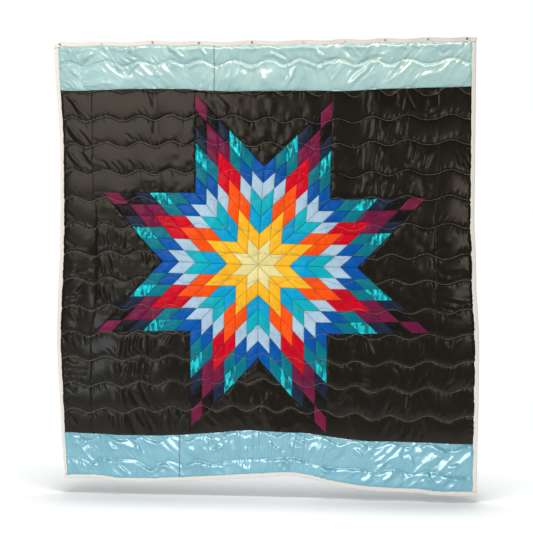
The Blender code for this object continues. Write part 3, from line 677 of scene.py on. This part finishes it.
def cloth_piece(name, patches, materials, node):
    """Closed cloth panel: fine relief in front, a coarser plain back and a wall along its cut edge."""
    front, gaps, faces, slots = merged(patches, 1)
    back, _, back_faces, back_slots = merged(patches, 4)
    rise = relief(front[:, 0], front[:, 1], gaps)
    places = np.concatenate([hang(front[:, 0], front[:, 1], HALF_SHEET + rise),
                             hang(back[:, 0], back[:, 1], np.full(len(back), -PLAIN_BACK))])
    offset = len(front)
    all_faces = faces + [tuple(offset + i for i in reversed(face)) for face in back_faces]
    all_slots = slots + back_slots
    onward = rim_loop(faces)
    find = {tuple(key): offset + i for i, key in enumerate(keys(back).tolist())}
    front_keys = keys(front).tolist()
    partner = {i: find[tuple(front_keys[i])] for i in onward if tuple(front_keys[i]) in find}
    start = next(i for i in onward if i in partner)
    walk = [start]
    while onward[walk[-1]] != start:
        walk.append(onward[walk[-1]])
    walk.append(start)
    run = [walk[0]]
    for point in walk[1:]:
        run.append(point)
        if point in partner:
            if partner[run[0]] != partner[point]:
                all_faces.append(tuple(reversed(run)) + (partner[run[0]], partner[point]))
                all_slots.append(0)
            run = [point]
    flat = np.concatenate([front, back])
    smooth = np.arange(len(all_faces)) < len(faces) + len(back_faces)
    made = mesh_piece(name, places, all_faces, materials, all_slots, flat, smooth)
    # Painted shade along the seams, where the groove between two pieces would be dark
    line = made.data.attributes.new("painted_seam_shade", "FLOAT", "POINT")
    line.data.foreach_set("value", np.concatenate([np.exp(-(gaps / PAINTED_SEAM_HALF_WIDE) ** 2), np.zeros(len(back))]))
    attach(made, "root")
    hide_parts(node)
    return made


def mesh_piece(name, places, faces, materials, slots=None, flat=None, smooth=None):
    """Mesh object with its material slots and the flat pattern as UV map."""
    mesh = bpy.data.meshes.new(name)
    mesh.from_pydata(places.tolist(), [], faces)
    for made in materials:
        mesh.materials.append(made)
    if slots is not None:
        mesh.polygons.foreach_set("material_index", np.array(slots, np.int32))
    if flat is not None:
        layer = mesh.uv_layers.new(name="pattern")
        loops = np.empty(len(mesh.loops), np.int32)
        mesh.loops.foreach_get("vertex_index", loops)
        layer.data.foreach_set("uv", flat[loops].astype(np.float32).ravel())
    mesh.polygons.foreach_set("use_smooth", np.full(len(faces), True) if smooth is None else smooth)
    mesh.update()
    return add_object(name, mesh)


# Materials
def linear(hex_colour):
    """sRGB hex to the linear values that shaders take."""
    parts = [int(hex_colour[i:i + 2], 16) / 255.0 for i in (1, 3, 5)]
    return tuple(p / 12.92 if p <= 0.04045 else ((p + 0.055) / 1.055) ** 2.4 for p in parts) + (1.0,)


def feed(tree, node, **links):
    """Set or link inputs of a node by name, or by number as i0, i1 and so on."""
    for key, value in links.items():
        name = key.replace("_", " ")
        socket = node.inputs[name] if name in node.inputs else node.inputs[int(key[1:])]
        if isinstance(value, bpy.types.NodeSocket):
            tree.links.new(value, socket)
        else:
            socket.default_value = value


def add_node(tree, kind, settings=None, **links):
    """Add a node, set its properties, then set or link its inputs."""
    node = tree.nodes.new(kind)
    for key, value in (settings or {}).items():
        setattr(node, key, value)
    feed(tree, node, **links)
    return node


def two_tone(tree, factor, shade, colour):
    """Blend of two hex colours."""
    tint = add_node(tree, "ShaderNodeMix", {"data_type": "RGBA"}, Factor=factor, i6=linear(shade),
                    i7=linear(colour))
    return tint.outputs[2]


def new_material(name):
    """New material, its node tree and its shader."""
    made = bpy.data.materials.new(name)
    made.use_nodes = True
    tree = made.node_tree
    shader = tree.nodes["Principled BSDF"]
    return made, tree, shader


def satin(name, colour, shade, roughness=0.40, gloss=0.10, coat=0.06, polish=0.22):
    """Polyester satin, woven with long floats: a soft streaky gloss over a fine slubby grain, and painted
    sheen in its colour.
    """
    made, tree, shader = new_material(name)
    place = add_node(tree, "ShaderNodeUVMap", {"uv_map": "pattern"}).outputs["UV"]
    broad = add_node(tree, "ShaderNodeTexNoise", Vector=place, Scale=9.0, Detail=3.0, Roughness=0.55)
    streak_place = add_node(tree, "ShaderNodeMapping", Vector=place, Scale=(150.0, 22.0, 1.0))
    streak = add_node(tree, "ShaderNodeTexNoise", Vector=streak_place.outputs["Vector"], Scale=1.0,
                      Detail=4.0, Roughness=0.6)
    fine = add_node(tree, "ShaderNodeTexNoise", Vector=place, Scale=420.0, Detail=2.0, Roughness=0.6)
    blend = add_node(tree, "ShaderNodeMath", {"operation": "MULTIPLY_ADD"}, i0=streak.outputs["Fac"], i1=0.5,
                     i2=broad.outputs["Fac"])
    # The darker tone in random streaks and broad patches is painted sheen, standing in for the satin's uneven
    # shine
    mixed = add_node(tree, "ShaderNodeMapRange", Value=blend.outputs[0], From_Min=0.45, From_Max=1.05)
    tint = two_tone(tree, mixed.outputs[0], shade, colour)
    # Seams darkened in the colour: painted shade of the groove between pieces
    seam = add_node(tree, "ShaderNodeAttribute", {"attribute_name": "painted_seam_shade"})
    shaded = add_node(tree, "ShaderNodeMix", {"data_type": "RGBA", "blend_type": "MULTIPLY"},
                      Factor=seam.outputs["Fac"], i6=tint, i7=linear(PAINTED_SEAM_SHADE))
    rough = add_node(tree, "ShaderNodeMapRange", Value=streak.outputs["Fac"], From_Min=0.3, From_Max=0.7,
                     To_Min=roughness - 0.03, To_Max=roughness + 0.05)
    grain = add_node(tree, "ShaderNodeBump", Strength=0.10, Distance=0.0004, Height=fine.outputs["Fac"])
    feed(tree, shader, Base_Color=shaded.outputs[2], Roughness=rough.outputs[0],
         Normal=grain.outputs["Normal"], Specular_IOR_Level=gloss, Coat_Weight=coat,
         Coat_Roughness=polish, Coat_IOR=1.7)
    return made


def lame(name, colour, shade):
    """Metallic lame knit backed with foil film: broken bright glints over a dark crinkle, partly from the
    bumped metal and partly painted into its colour.
    """
    made, tree, shader = new_material(name)
    place = add_node(tree, "ShaderNodeUVMap", {"uv_map": "pattern"}).outputs["UV"]
    long_place = add_node(tree, "ShaderNodeMapping", Vector=place, Scale=(2.2, 0.7, 1.0))
    crease = add_node(tree, "ShaderNodeTexNoise", Vector=long_place.outputs["Vector"], Scale=30.0, Detail=1.0,
                      Roughness=0.3, Distortion=0.7)
    soft = add_node(tree, "ShaderNodeTexNoise", Vector=place, Scale=44.0, Detail=1.0, Roughness=0.5,
                    Distortion=0.8)
    # Brighter colour on the raised crinkles is a painted glint; the metallic shine over the bump is real
    mixed = add_node(tree, "ShaderNodeMapRange", Value=crease.outputs["Fac"], From_Min=0.42, From_Max=0.60)
    crinkle = add_node(tree, "ShaderNodeBump", Strength=1.0, Distance=0.012, Height=crease.outputs["Fac"])
    folds = add_node(tree, "ShaderNodeBump", Strength=0.2, Distance=0.002, Height=soft.outputs["Fac"],
                     Normal=crinkle.outputs["Normal"])
    feed(tree, shader, Base_Color=two_tone(tree, mixed.outputs[0], shade, colour),
         Normal=folds.outputs["Normal"], Metallic=0.45, Roughness=0.36)
    return made


def plain_cloth(name, colour, shade, scale, roughness=0.6):
    """Plain woven cotton or tape: matt, with a slight thread grain."""
    made, tree, shader = new_material(name)
    place = add_node(tree, "ShaderNodeTexCoord").outputs["Object"]
    grain = add_node(tree, "ShaderNodeTexNoise", Vector=place, Scale=scale, Detail=4.0, Roughness=0.6)
    bump = add_node(tree, "ShaderNodeBump", Strength=0.4, Distance=0.0006, Height=grain.outputs["Fac"])
    feed(tree, shader, Base_Color=two_tone(tree, grain.outputs["Fac"], shade, colour),
         Normal=bump.outputs["Normal"], Roughness=roughness)
    return made


def moulded(name, colour):
    """Moulded polystyrene pin head: smooth gloss with a faint cloudiness."""
    made, tree, shader = new_material(name)
    place = add_node(tree, "ShaderNodeTexCoord").outputs["Object"]
    cloud = add_node(tree, "ShaderNodeTexNoise", Vector=place, Scale=260.0, Detail=2.0)
    rough = add_node(tree, "ShaderNodeMapRange", Value=cloud.outputs["Fac"], To_Min=0.18, To_Max=0.34)
    feed(tree, shader, Base_Color=linear(colour), Roughness=rough.outputs[0])
    return made


# Star colours, from the middle of the star outwards
SATINS = {
    "cream": ("#ECE4A8", "#D2C57E"),
    "gold": ("#FAC832", "#E69E14"),
    "orange": ("#FF5C10", "#DC420A"),
    "red": ("#DA0026", "#A80018"),
    "burgundy": ("#7A1A40", "#58123A"),
    "navy": ("#1E2A44", "#141C30"),
    "black": ("#141310", "#0D0C0A"),
    "royal": ("#005AB4", "#00448C"),
    "ice": ("#B6D2E4", "#92B0C8"),
    "turquoise": ("#06B6C8", "#069AAA"),
    "cerulean": ("#00AADA", "#008ABE"),
    "teal": ("#007C8E", "#006274"),
}
CHART = (
    ("cream", "gold", "cerulean", "turquoise", "ice", "royal"),
    ("gold", "gold", "orange", "ice", "royal", "teal"),
    ("cerulean", "orange", "orange", "red", "teal", "lame"),
    ("turquoise", "ice", "red", "red", "burgundy", "navy"),
    ("ice", "royal", "teal", "burgundy", "burgundy", "black"),
    ("royal", "teal", "lame", "navy", "black", "burgundy"),
)


def panel(name, patches, materials, node):
    """One cloth panel in the place of its solid."""
    made = cloth_piece(name, patches, materials, node)


def star_arms(cloths):
    """Eight arms, each pieced from small diamonds; the names tell each arm's two directions."""
    names = ("east_north", "north_east", "north_west", "west_north",
             "west_south", "south_west", "south_east", "east_south")
    order = list(cloths)
    for index, name in enumerate(names):
        first = math.radians(45.0 * index)
        second = math.radians(45.0 * (index + 1))
        a = np.array((math.cos(first), math.sin(first))) * ARM / PATCHES
        b = np.array((math.cos(second), math.sin(second))) * ARM / PATCHES
        patches = []
        for i in range(PATCHES):
            for j in range(PATCHES):
                corners = (a * i + b * j, a * (i + 1) + b * j,
                           a * (i + 1) + b * (j + 1), a * i + b * (j + 1))
                patches.append(Patch(corners, order.index(CHART[i][j])))
        panel("arm_" + name, patches, list(cloths.values()), "star_arm_" + name)


def quarter_turn(points, times):
    """Points turned to the left by a number of quarter turns."""
    for _ in range(times):
        points = [(-v, u) for u, v in points]
    return points


def dark_panels(dark):
    """Corner squares, side triangles with their margin outside the star, and side borders."""
    for times, corner in enumerate(("upper_right", "upper_left", "lower_left", "lower_right")):
        square = quarter_turn([(NOTCH, NOTCH), (SEAM, NOTCH), (SEAM, SEAM), (NOTCH, SEAM)], times)
        panel("square_" + corner, [Patch(square)], [dark], "corner_square_" + corner)
    for times, side in enumerate(("top", "left", "bottom", "right")):
        wedge = quarter_turn([(0.0, ARM), (NOTCH, TIP), (-NOTCH, TIP), (0.0, ARM)], times)
        margin = quarter_turn([(NOTCH, TIP), (NOTCH, SEAM), (-NOTCH, SEAM), (-NOTCH, TIP)], times)
        patches = [Patch(wedge, 0, (True, False, True, False)), Patch(margin, 0, (True, True, True, False))]
        panel("triangle_" + side, patches, [dark], "side_triangle_" + side)
    edge = HALF_WIDE - SIDE_TUCK
    for side, near, far in (("right", SEAM, edge), ("left", -edge, -SEAM)):
        border = [(near, -SEAM), (far, -SEAM), (far, SEAM), (near, SEAM)]
        panel("border_" + side, [Patch(border)], [dark], "side_border_" + side)


def bands(head_cloth, foot_cloth):
    """Light blue bands, each joined from two lengths of cloth."""
    edge = HALF_WIDE - SIDE_TUCK
    rows = (("head", SEAM, HALF_TALL - HEAD_TUCK, JOINS[0], head_cloth),
            ("foot", SIDE_TUCK - HALF_TALL, -SEAM, JOINS[1], foot_cloth))
    for side, low, high, join, cloth in rows:
        patches = [Patch([(-edge, low), (join, low), (join, high), (-edge, high)]),
                   Patch([(join, low), (edge, low), (edge, high), (join, high)])]
        panel(side + "_band_cloth", patches, [cloth], side + "_band")


def backing_sheet(cloth):
    """Plain backing behind the panels, quilted by the same rows."""
    us = np.linspace(-HALF_WIDE + SIDE_TUCK, HALF_WIDE - SIDE_TUCK, BACKING_CELLS[0])
    vs = np.linspace(-HALF_TALL + SIDE_TUCK, HALF_TALL - HEAD_TUCK, BACKING_CELLS[1])
    u, v = (grid.ravel() for grid in np.meshgrid(us, vs, indexing="ij"))
    _, below_row, above_row = channels(u, v)
    part = above_row / np.maximum(below_row + above_row, 0.001)
    rim = np.minimum(HALF_WIDE - np.abs(u), HALF_TALL - np.abs(v))
    inside = ease((rim - 0.014) / 0.03)
    swell = 0.0030 * np.sin(np.pi * part) ** 0.6 * inside
    swell += 0.0008 * soft_noise(u / 0.04 + 5 * v, v / 0.15, 31) * inside
    inner = hang(u, v, -BACKING_NEAR - swell)
    outer = hang(u, v, -BACKING_FAR - swell)
    rows, columns = len(us), len(vs)
    index = np.arange(rows * columns).reshape(rows, columns)
    cells = quads(index).tolist()
    loop = list(index[:, 0]) + list(index[-1, 1:]) + list(index[-2::-1, -1]) + list(index[0, -2:0:-1])
    size = rows * columns
    faces = [tuple(cell) for cell in cells]
    faces += [tuple(size + i for i in reversed(cell)) for cell in cells]
    for start, end in zip(loop, loop[1:] + loop[:1]):
        faces.append((int(end), int(start), int(size + start), int(size + end)))
    made = mesh_piece("backing", np.concatenate([inner, outer]), faces, [cloth],
                      flat=np.stack([np.tile(u, 2), np.tile(v, 2)], -1))
    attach(made, "root")


def tape_section(width):
    """Rounded section of the folded tape: (distance from the edge, distance forward)."""
    inner = HALF_SHEET + TAPE_CLEAR
    outer = inner + TAPE_WALL
    fold = [(TAPE_INSET + outer * (1 - math.sin(turn)), outer * math.cos(turn))
            for turn in np.linspace(0, math.pi, 9)]
    lip = [(width, inner), (width + TAPE_LIP, (inner + outer) / 2), (width, outer),
           (width * 0.6, outer + 0.0003)]
    back = [(inward, -forward) for inward, forward in reversed(lip)]
    return lip + fold + back + [(0.0022, -inner), (0.0022, inner)]


def binding_tape(side, cloth):
    """White tape folded round one edge, slightly rippled, in the place of its solid."""
    level = side in ("head", "foot")
    reach = HALF_WIDE if level else HALF_TALL - TAPE_WIDE - TAPE_END
    sign = 1.0 if side in ("head", "right") else -1.0
    marks = np.linspace(-reach, reach, round(2 * reach / TAPE_STEP))
    rings = []
    uvs = []
    for inward, forward in tape_section(TAPE_WIDE - TAPE_INSET):
        ripple = 0.0005 * soft_noise(marks / 0.012, np.full_like(marks, 3.0 + inward * 400), 41)
        ripple = ripple * np.clip(inward / TAPE_WIDE, 0, 1) * np.sign(forward)
        inner = abs(forward) < HALF_SHEET + TAPE_CLEAR + TAPE_WALL / 3
        lift = forward + (0 if inner else 1) * ripple
        if level:
            place = (marks, np.full_like(marks, sign * (HALF_TALL - inward)))
        else:
            place = (np.full_like(marks, sign * (HALF_WIDE - inward)), marks)
        rings.append(hang(place[0], place[1], lift))
        uvs.append(np.stack(place, -1))
    count = len(rings)
    places = np.stack(rings, 1).reshape(-1, 3)
    index = np.arange(len(marks) * count).reshape(len(marks), count)
    faces = []
    for left, right in zip(index[:-1].tolist(), index[1:].tolist()):
        for k in range(count):
            onward = (k + 1) % count
            faces.append((left[k], left[onward], right[onward], right[k]))
    faces.append(tuple(reversed(index[0].tolist())))
    faces.append(tuple(index[-1].tolist()))
    made = mesh_piece("binding_tape_" + side, places, faces, [cloth], flat=np.stack(uvs, 1).reshape(-1, 2))
    bm = bmesh.new()
    bm.from_mesh(made.data)
    bmesh.ops.recalc_face_normals(bm, faces=bm.faces)
    bm.to_mesh(made.data)
    bm.free()
    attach(made, "root")
    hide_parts("binding_" + side)
    return made


HEAD_SHAPE = (                                  # radius, distance in front of the tape
    (0.0000, 0.0100), (0.0014, 0.0100), (0.0026, 0.0096), (0.0034, 0.0090), (0.0036, 0.0084),
    (0.0035, 0.0076), (0.0031, 0.0066), (0.0027, 0.0054), (0.0027, 0.0044), (0.0030, 0.0034),
    (0.0040, 0.0024), (0.0044, 0.0018), (0.0044, 0.0010), (0.0040, 0.0006), (0.0007, 0.0006),
    (0.0007, -0.0150), (0.0003, -0.0165), (0.0, -0.0170),
)
PIN_STEPS = 24                                  # faces round a pin


def push_pin(number, u, plastic):
    """Push pin turned from its section: collar, waist and domed head, with the shank behind."""
    face = HALF_SHEET + TAPE_CLEAR + TAPE_WALL
    place = Vector(hang(u, HALF_TALL - PIN_DROP, 0.0).tolist())
    bm = bmesh.new()
    verts = [bm.verts.new((radius, -face - forward, 0.0)) for radius, forward in HEAD_SHAPE]
    edges = [bm.edges.new(pair) for pair in zip(verts, verts[1:])]
    bmesh.ops.spin(bm, geom=verts + edges, axis=(0, 1, 0), cent=(0, 0, 0), steps=PIN_STEPS,
                     angle=2 * math.pi)
    bmesh.ops.remove_doubles(bm, verts=bm.verts, dist=1e-6)
    bmesh.ops.recalc_face_normals(bm, faces=bm.faces)
    bmesh.ops.translate(bm, verts=bm.verts, vec=place)
    mesh = bpy.data.meshes.new("pin_%02d" % number)
    bm.to_mesh(mesh)
    bm.free()
    mesh.materials.append(plastic)
    mesh.polygons.foreach_set("use_smooth", np.full(len(mesh.polygons), True))
    made = add_object("pin_%02d" % number, mesh)
    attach(made, "root")
    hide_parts("push_pin_%02d" % number)


# Quilting thread
# Lengths in metres. Real stitches are too fine for the picture, so these are longer and thicker.
STITCH_PARTS = ("Stitch length", "Thread shown", "Thread thickness")
ROW_STITCH = (0.0042, 0.92, 0.0016)
JOIN_STITCH = (0.0120, 0.55, 0.0042)
ROW_STEP = 0.004                                # distance between the points of a sewn line
THREAD_LIFT = 0.0018                            # middle of the thread over the cloth
THREAD_COVER = 0.70                             # partly see-through, to make up for its thickness
JOIN_COVER = 0.85
JOIN_ASIDE = 0.0025                             # thread of a band's join, beside the join
JOIN_SWAY = 0.0006


def stitch_tree():
    """Nodes that lay one stitch after another along a sewn line."""
    tree = bpy.data.node_groups.new("sewn_row", "GeometryNodeTree")
    face = tree.interface
    face.new_socket("Geometry", in_out="INPUT", socket_type="NodeSocketGeometry")
    for part in STITCH_PARTS:
        face.new_socket(part, in_out="INPUT", socket_type="NodeSocketFloat")
    face.new_socket("Thread", in_out="INPUT", socket_type="NodeSocketMaterial")
    face.new_socket("Geometry", in_out="OUTPUT", socket_type="NodeSocketGeometry")
    start = tree.nodes.new("NodeGroupInput")
    end = tree.nodes.new("NodeGroupOutput")
    curve = add_node(tree, "GeometryNodeMeshToCurve", Mesh=start.outputs["Geometry"])
    spaced = add_node(tree, "GeometryNodeResampleCurve", {"mode": "LENGTH"}, Curve=curve.outputs["Curve"],
                      Length=start.outputs["Stitch length"])
    points = add_node(tree, "GeometryNodeCurveToPoints", {"mode": "EVALUATED"},
                      Curve=spaced.outputs["Curve"])
    ball = add_node(tree, "GeometryNodeMeshUVSphere", Segments=4, Rings=3, Radius=0.5)
    long = add_node(tree, "ShaderNodeMath", {"operation": "MULTIPLY"}, i0=start.outputs["Stitch length"],
                    i1=start.outputs["Thread shown"])
    size = add_node(tree, "ShaderNodeCombineXYZ", X=start.outputs["Thread thickness"],
                    Y=start.outputs["Thread thickness"], Z=long.outputs[0])
    placed = add_node(tree, "GeometryNodeInstanceOnPoints", Points=points.outputs["Points"],
                      Instance=ball.outputs["Mesh"], Rotation=points.outputs["Rotation"],
                      Scale=size.outputs[0])
    real = add_node(tree, "GeometryNodeRealizeInstances", Geometry=placed.outputs["Instances"])
    coloured = add_node(tree, "GeometryNodeSetMaterial", Geometry=real.outputs["Geometry"],
                        Material=start.outputs["Thread"])
    tree.links.new(coloured.outputs["Geometry"], end.inputs[0])
    return tree


def nearest_seam(u, v):
    """Distance to the main seams, so that the thread dips where the cloth does."""
    return np.minimum(np.abs(np.abs(u) - SEAM), np.abs(np.abs(v) - SEAM))


def sewn(name, lines, tree, stitch, thread):
    """One mesh of stitches along all of the lines."""
    places, edges = [], []
    for u, v in lines:
        first = len(places)
        rise = relief(u, v, nearest_seam(u, v))
        places += hang(u, v, HALF_SHEET + rise + THREAD_LIFT).tolist()
        edges += [(k, k + 1) for k in range(first, len(places) - 1)]
    mesh = bpy.data.meshes.new("row_lines")
    mesh.from_pydata(places, edges, [])
    path = add_object("row_lines", mesh)
    sewing = path.modifiers.new("sewing", "NODES")
    sewing.node_group = tree
    sockets = {item.name: item.identifier for item in tree.interface.items_tree if item.in_out == "INPUT"}
    for part, value in zip(STITCH_PARTS, stitch):
        sewing[sockets[part]] = value
    sewing[sockets["Thread"]] = thread
    ready = path.evaluated_get(bpy.context.evaluated_depsgraph_get())
    stitches = bpy.data.meshes.new_from_object(ready)
    stitches.name = name
    bpy.data.objects.remove(path, do_unlink=True)
    made = add_object(name, stitches)
    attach(made, "root")


def sewn_rows(thread, join_thread):
    """All quilting rows, in two meshes, and the dashed rows beside the joins of the bands."""
    tree = stitch_tree()
    u = np.arange(-HALF_WIDE + TAPE_WIDE, HALF_WIDE - TAPE_WIDE, ROW_STEP)
    rows = [(u, row_line(number, u)) for number in range(len(ROWS))]
    half = len(rows) // 2
    sewn("quilting_thread_upper", rows[:half], tree, ROW_STITCH, thread)
    sewn("quilting_thread_lower", rows[half:], tree, ROW_STITCH, thread)
    joins = []
    spans = ((SEAM, HALF_TALL - TAPE_WIDE), (TAPE_WIDE - HALF_TALL, -SEAM))
    for u_join, (low, high) in zip(JOINS, spans):
        v = np.arange(low + ROW_STEP, high, ROW_STEP)
        joins.append((u_join + JOIN_ASIDE + JOIN_SWAY * np.sin(v * 190.0), v))
    sewn("join_thread", joins, tree, JOIN_STITCH, join_thread)


# Studio
PHOTO = 533.0                                   # picture side, pixels
FOCAL_PIXELS = 718.0
VIEW_FAR = 3.2
VIEW_SIDE = 0.075                               # sine of the camera's swing to the right
VIEW_HEIGHT = -1.0055
FLOOR = -2.035
FLOOR_SIZE = (4.4, 2.6)
AMBIENT = 0.18
PAINTED_SHADOW_REACH = 0.26                                  # reach of the painted contact shadow under the foot

# Lamps: name, what they light, place, aim, size, power, colour
FLOOR_LAMP = ("floor_lamp", (0.0, -0.5, 6.0), (0.0, -0.5, -2.0), (3.8, 3.1), 715.0, (1.0, 1.0, 1.0))
LAMPS = (
    ("front", "cloth", (0.9, -4.6, 0.6), (0.0, 0.0, -0.9), (3.6, 2.2), 74.0, (1.0, 0.98, 0.95)),
    ("key", "cloth", (-2.3, -2.0, 1.3), (0.0, 0.0, -0.9), (0.9, 0.9), 42.0, (1.0, 0.98, 0.95)),
    ("top", "head", (0.0, -1.0, 1.8), (0.0, 0.0, -0.8), (2.6, 0.5), 14.0, (1.0, 0.90, 0.78)),
    ("warm_strip", "head", (0.4, -2.2, 1.3), (0.1, 0.0, -0.6), (3.4, 0.45), 62.0, (1.0, 0.86, 0.68)),
    ("head_window", "head", (-1.6, -2.4, 0.2), (-0.5, 0.0, -0.2), (0.5, 0.5), 3.0, (0.9, 0.97, 1.0)),
    ("low_strip", "foot", (-0.1, -3.5, -1.3), (0.0, 0.0, -1.8), (2.8, 1.3), 104.0, (0.90, 0.98, 1.0)),
    ("cool_window", "foot", (-2.1, -2.2, -0.8), (-0.3, 0.0, -1.4), (0.5, 1.0), 8.0, (0.84, 0.94, 1.0)),
    ("upper_window", "panels", (-1.4, -3.2, 0.7), (-0.4, 0.0, -0.5), (2.0, 2.0), 46.0, (1.0, 0.93, 0.83)),
    ("lower_window", "panels", (-1.7, -2.8, -1.5), (-0.5, 0.0, -1.4), (0.3, 0.8), 9.0, (0.84, 0.95, 1.0)),
    ("right_window", "panels", (1.9, -2.8, -0.6), (0.6, 0.0, -1.0), (0.4, 1.2), 13.0, (1.0, 0.90, 0.76)),
)


def camera():
    """Camera with the photo's focal length and place, worked out from its lines."""
    lens = bpy.data.cameras.new("camera")
    lens.sensor_width = 36.0
    lens.lens = FOCAL_PIXELS / PHOTO * lens.sensor_width
    lens.clip_end = 60.0
    seen = add_object("camera", lens)
    swing = math.asin(VIEW_SIDE)
    seen.location = (VIEW_FAR * VIEW_SIDE, -VIEW_FAR * math.cos(swing), VIEW_HEIGHT)
    seen.rotation_euler = (math.radians(90.0), 0.0, swing)
    bpy.context.scene.camera = seen


def area_light(name, place, aim, size, power, colour):
    lamp = bpy.data.lights.new(name, "AREA")
    lamp.shape = "RECTANGLE"
    lamp.size, lamp.size_y = size
    lamp.energy = power
    lamp.color = colour
    lit = add_object(name, lamp)
    lit.location = place
    lit.rotation_euler = (Vector(aim) - Vector(place)).to_track_quat("-Z", "Y").to_euler()
    lit.visible_glossy = name not in ("front", "key")
    return lit


def studio():
    """White surroundings, a floor with a painted contact shadow, and a set of lamps for each part of the
    cloth.
    """
    world = bpy.data.worlds.new("studio")
    world.use_nodes = True
    tree = world.node_tree
    seen = add_node(tree, "ShaderNodeBackground", Color=(1.0, 1.0, 1.0, 1.0), Strength=1.0)
    soft = add_node(tree, "ShaderNodeBackground", Color=(0.95, 0.97, 1.0, 1.0), Strength=AMBIENT)
    path = add_node(tree, "ShaderNodeLightPath")
    both = add_node(tree, "ShaderNodeMixShader", i0=path.outputs["Is Camera Ray"], i1=soft.outputs[0],
                    i2=seen.outputs[0])
    tree.links.new(both.outputs[0], tree.nodes["World Output"].inputs["Surface"])
    bpy.context.scene.world = world
    bm = bmesh.new()
    bmesh.ops.create_grid(bm, x_segments=8, y_segments=8, size=0.5)
    bmesh.ops.scale(bm, verts=bm.verts, vec=(*FLOOR_SIZE, 1.0))
    bmesh.ops.translate(bm, verts=bm.verts, vec=(0.0, 0.0, FLOOR))
    mesh = bpy.data.meshes.new("floor")
    bm.to_mesh(mesh)
    bm.free()
    floor = add_object("floor", mesh)
    made, tree, shader = new_material("floor_with_painted_shadow")
    # Painted shadow: the floor's colour is darkened near the cloth by ambient occlusion
    near = add_node(tree, "ShaderNodeAmbientOcclusion", {"samples": 12}, Distance=PAINTED_SHADOW_REACH)
    close = add_node(tree, "ShaderNodeMapRange", Value=near.outputs["AO"], From_Min=0.4, From_Max=0.96,
                     To_Min=0.34, To_Max=0.95)
    feed(tree, shader, Base_Color=close.outputs[0], Roughness=0.9, Specular_IOR_Level=0.2)
    mesh.materials.append(made)
    lit_floor = bpy.data.collections.new("lit_floor")
    lit_floor.objects.link(floor)
    area_light(*FLOOR_LAMP).light_linking.receiver_collection = lit_floor
    lit = {name: bpy.data.collections.new("lit_" + name) for name in ("cloth", "head", "foot", "panels")}
    for made in bpy.context.scene.objects:
        if made.type == "MESH" and made != floor:
            lit["cloth"].objects.link(made)
            side = made.name.removesuffix("_band_cloth")
            lit[side if side in lit else "panels"].objects.link(made)
    for name, group, *rest in LAMPS:
        area_light(name, *rest).light_linking.receiver_collection = lit[group]
    bpy.context.scene.view_settings.view_transform = "Standard"


def main():
    """Materials, then every piece, then the studio."""
    cloths = {name: satin("satin_" + name, *colours) for name, colours in SATINS.items()}
    cloths["lame"] = lame("lame_turquoise", "#00DCE8", "#00727E")
    dark = satin("satin_dark", "#110E08", "#0A0805", roughness=0.38, gloss=0.24, coat=0.12, polish=0.20)
    dark.node_tree.nodes["Principled BSDF"].inputs["Specular Tint"].default_value = linear("#FFF2E0")
    head_cloth = satin("satin_light_blue_head", "#9ABFC4", "#88AEB4", roughness=0.34, gloss=0.4,
                       coat=0.8, polish=0.16)
    foot_cloth = satin("satin_light_blue_foot", "#649AA8", "#508694", roughness=0.32, gloss=0.5,
                       coat=0.9, polish=0.18)
    tape = plain_cloth("satin_tape_white", "#E6E1DB", "#D6D1CB", 900.0, 0.7)
    plain = plain_cloth("cotton_backing", "#B9DCE2", "#A2C8D0", 700.0, 0.8)
    thread = plain_cloth("sewing_thread", "#B4AEA4", "#948E84", 1500.0, 0.5)
    join_thread = plain_cloth("blue_thread", "#164460", "#0E344C", 1500.0, 0.5)
    for made, cover in ((thread, THREAD_COVER), (join_thread, JOIN_COVER)):
        made.node_tree.nodes["Principled BSDF"].inputs["Alpha"].default_value = cover
    star_arms(cloths)
    dark_panels(dark)
    bands(head_cloth, foot_cloth)
    backing_sheet(plain)
    tapes = [binding_tape(side, tape) for side in ("head", "foot", "left", "right")]
    for number, (u, colour_name, colour) in enumerate(PINS, start=1):
        push_pin(number, u, moulded("polystyrene_%s_%d" % (colour_name, number), colour))
    sewn_rows(thread, join_thread)
    camera()
    studio()


main()
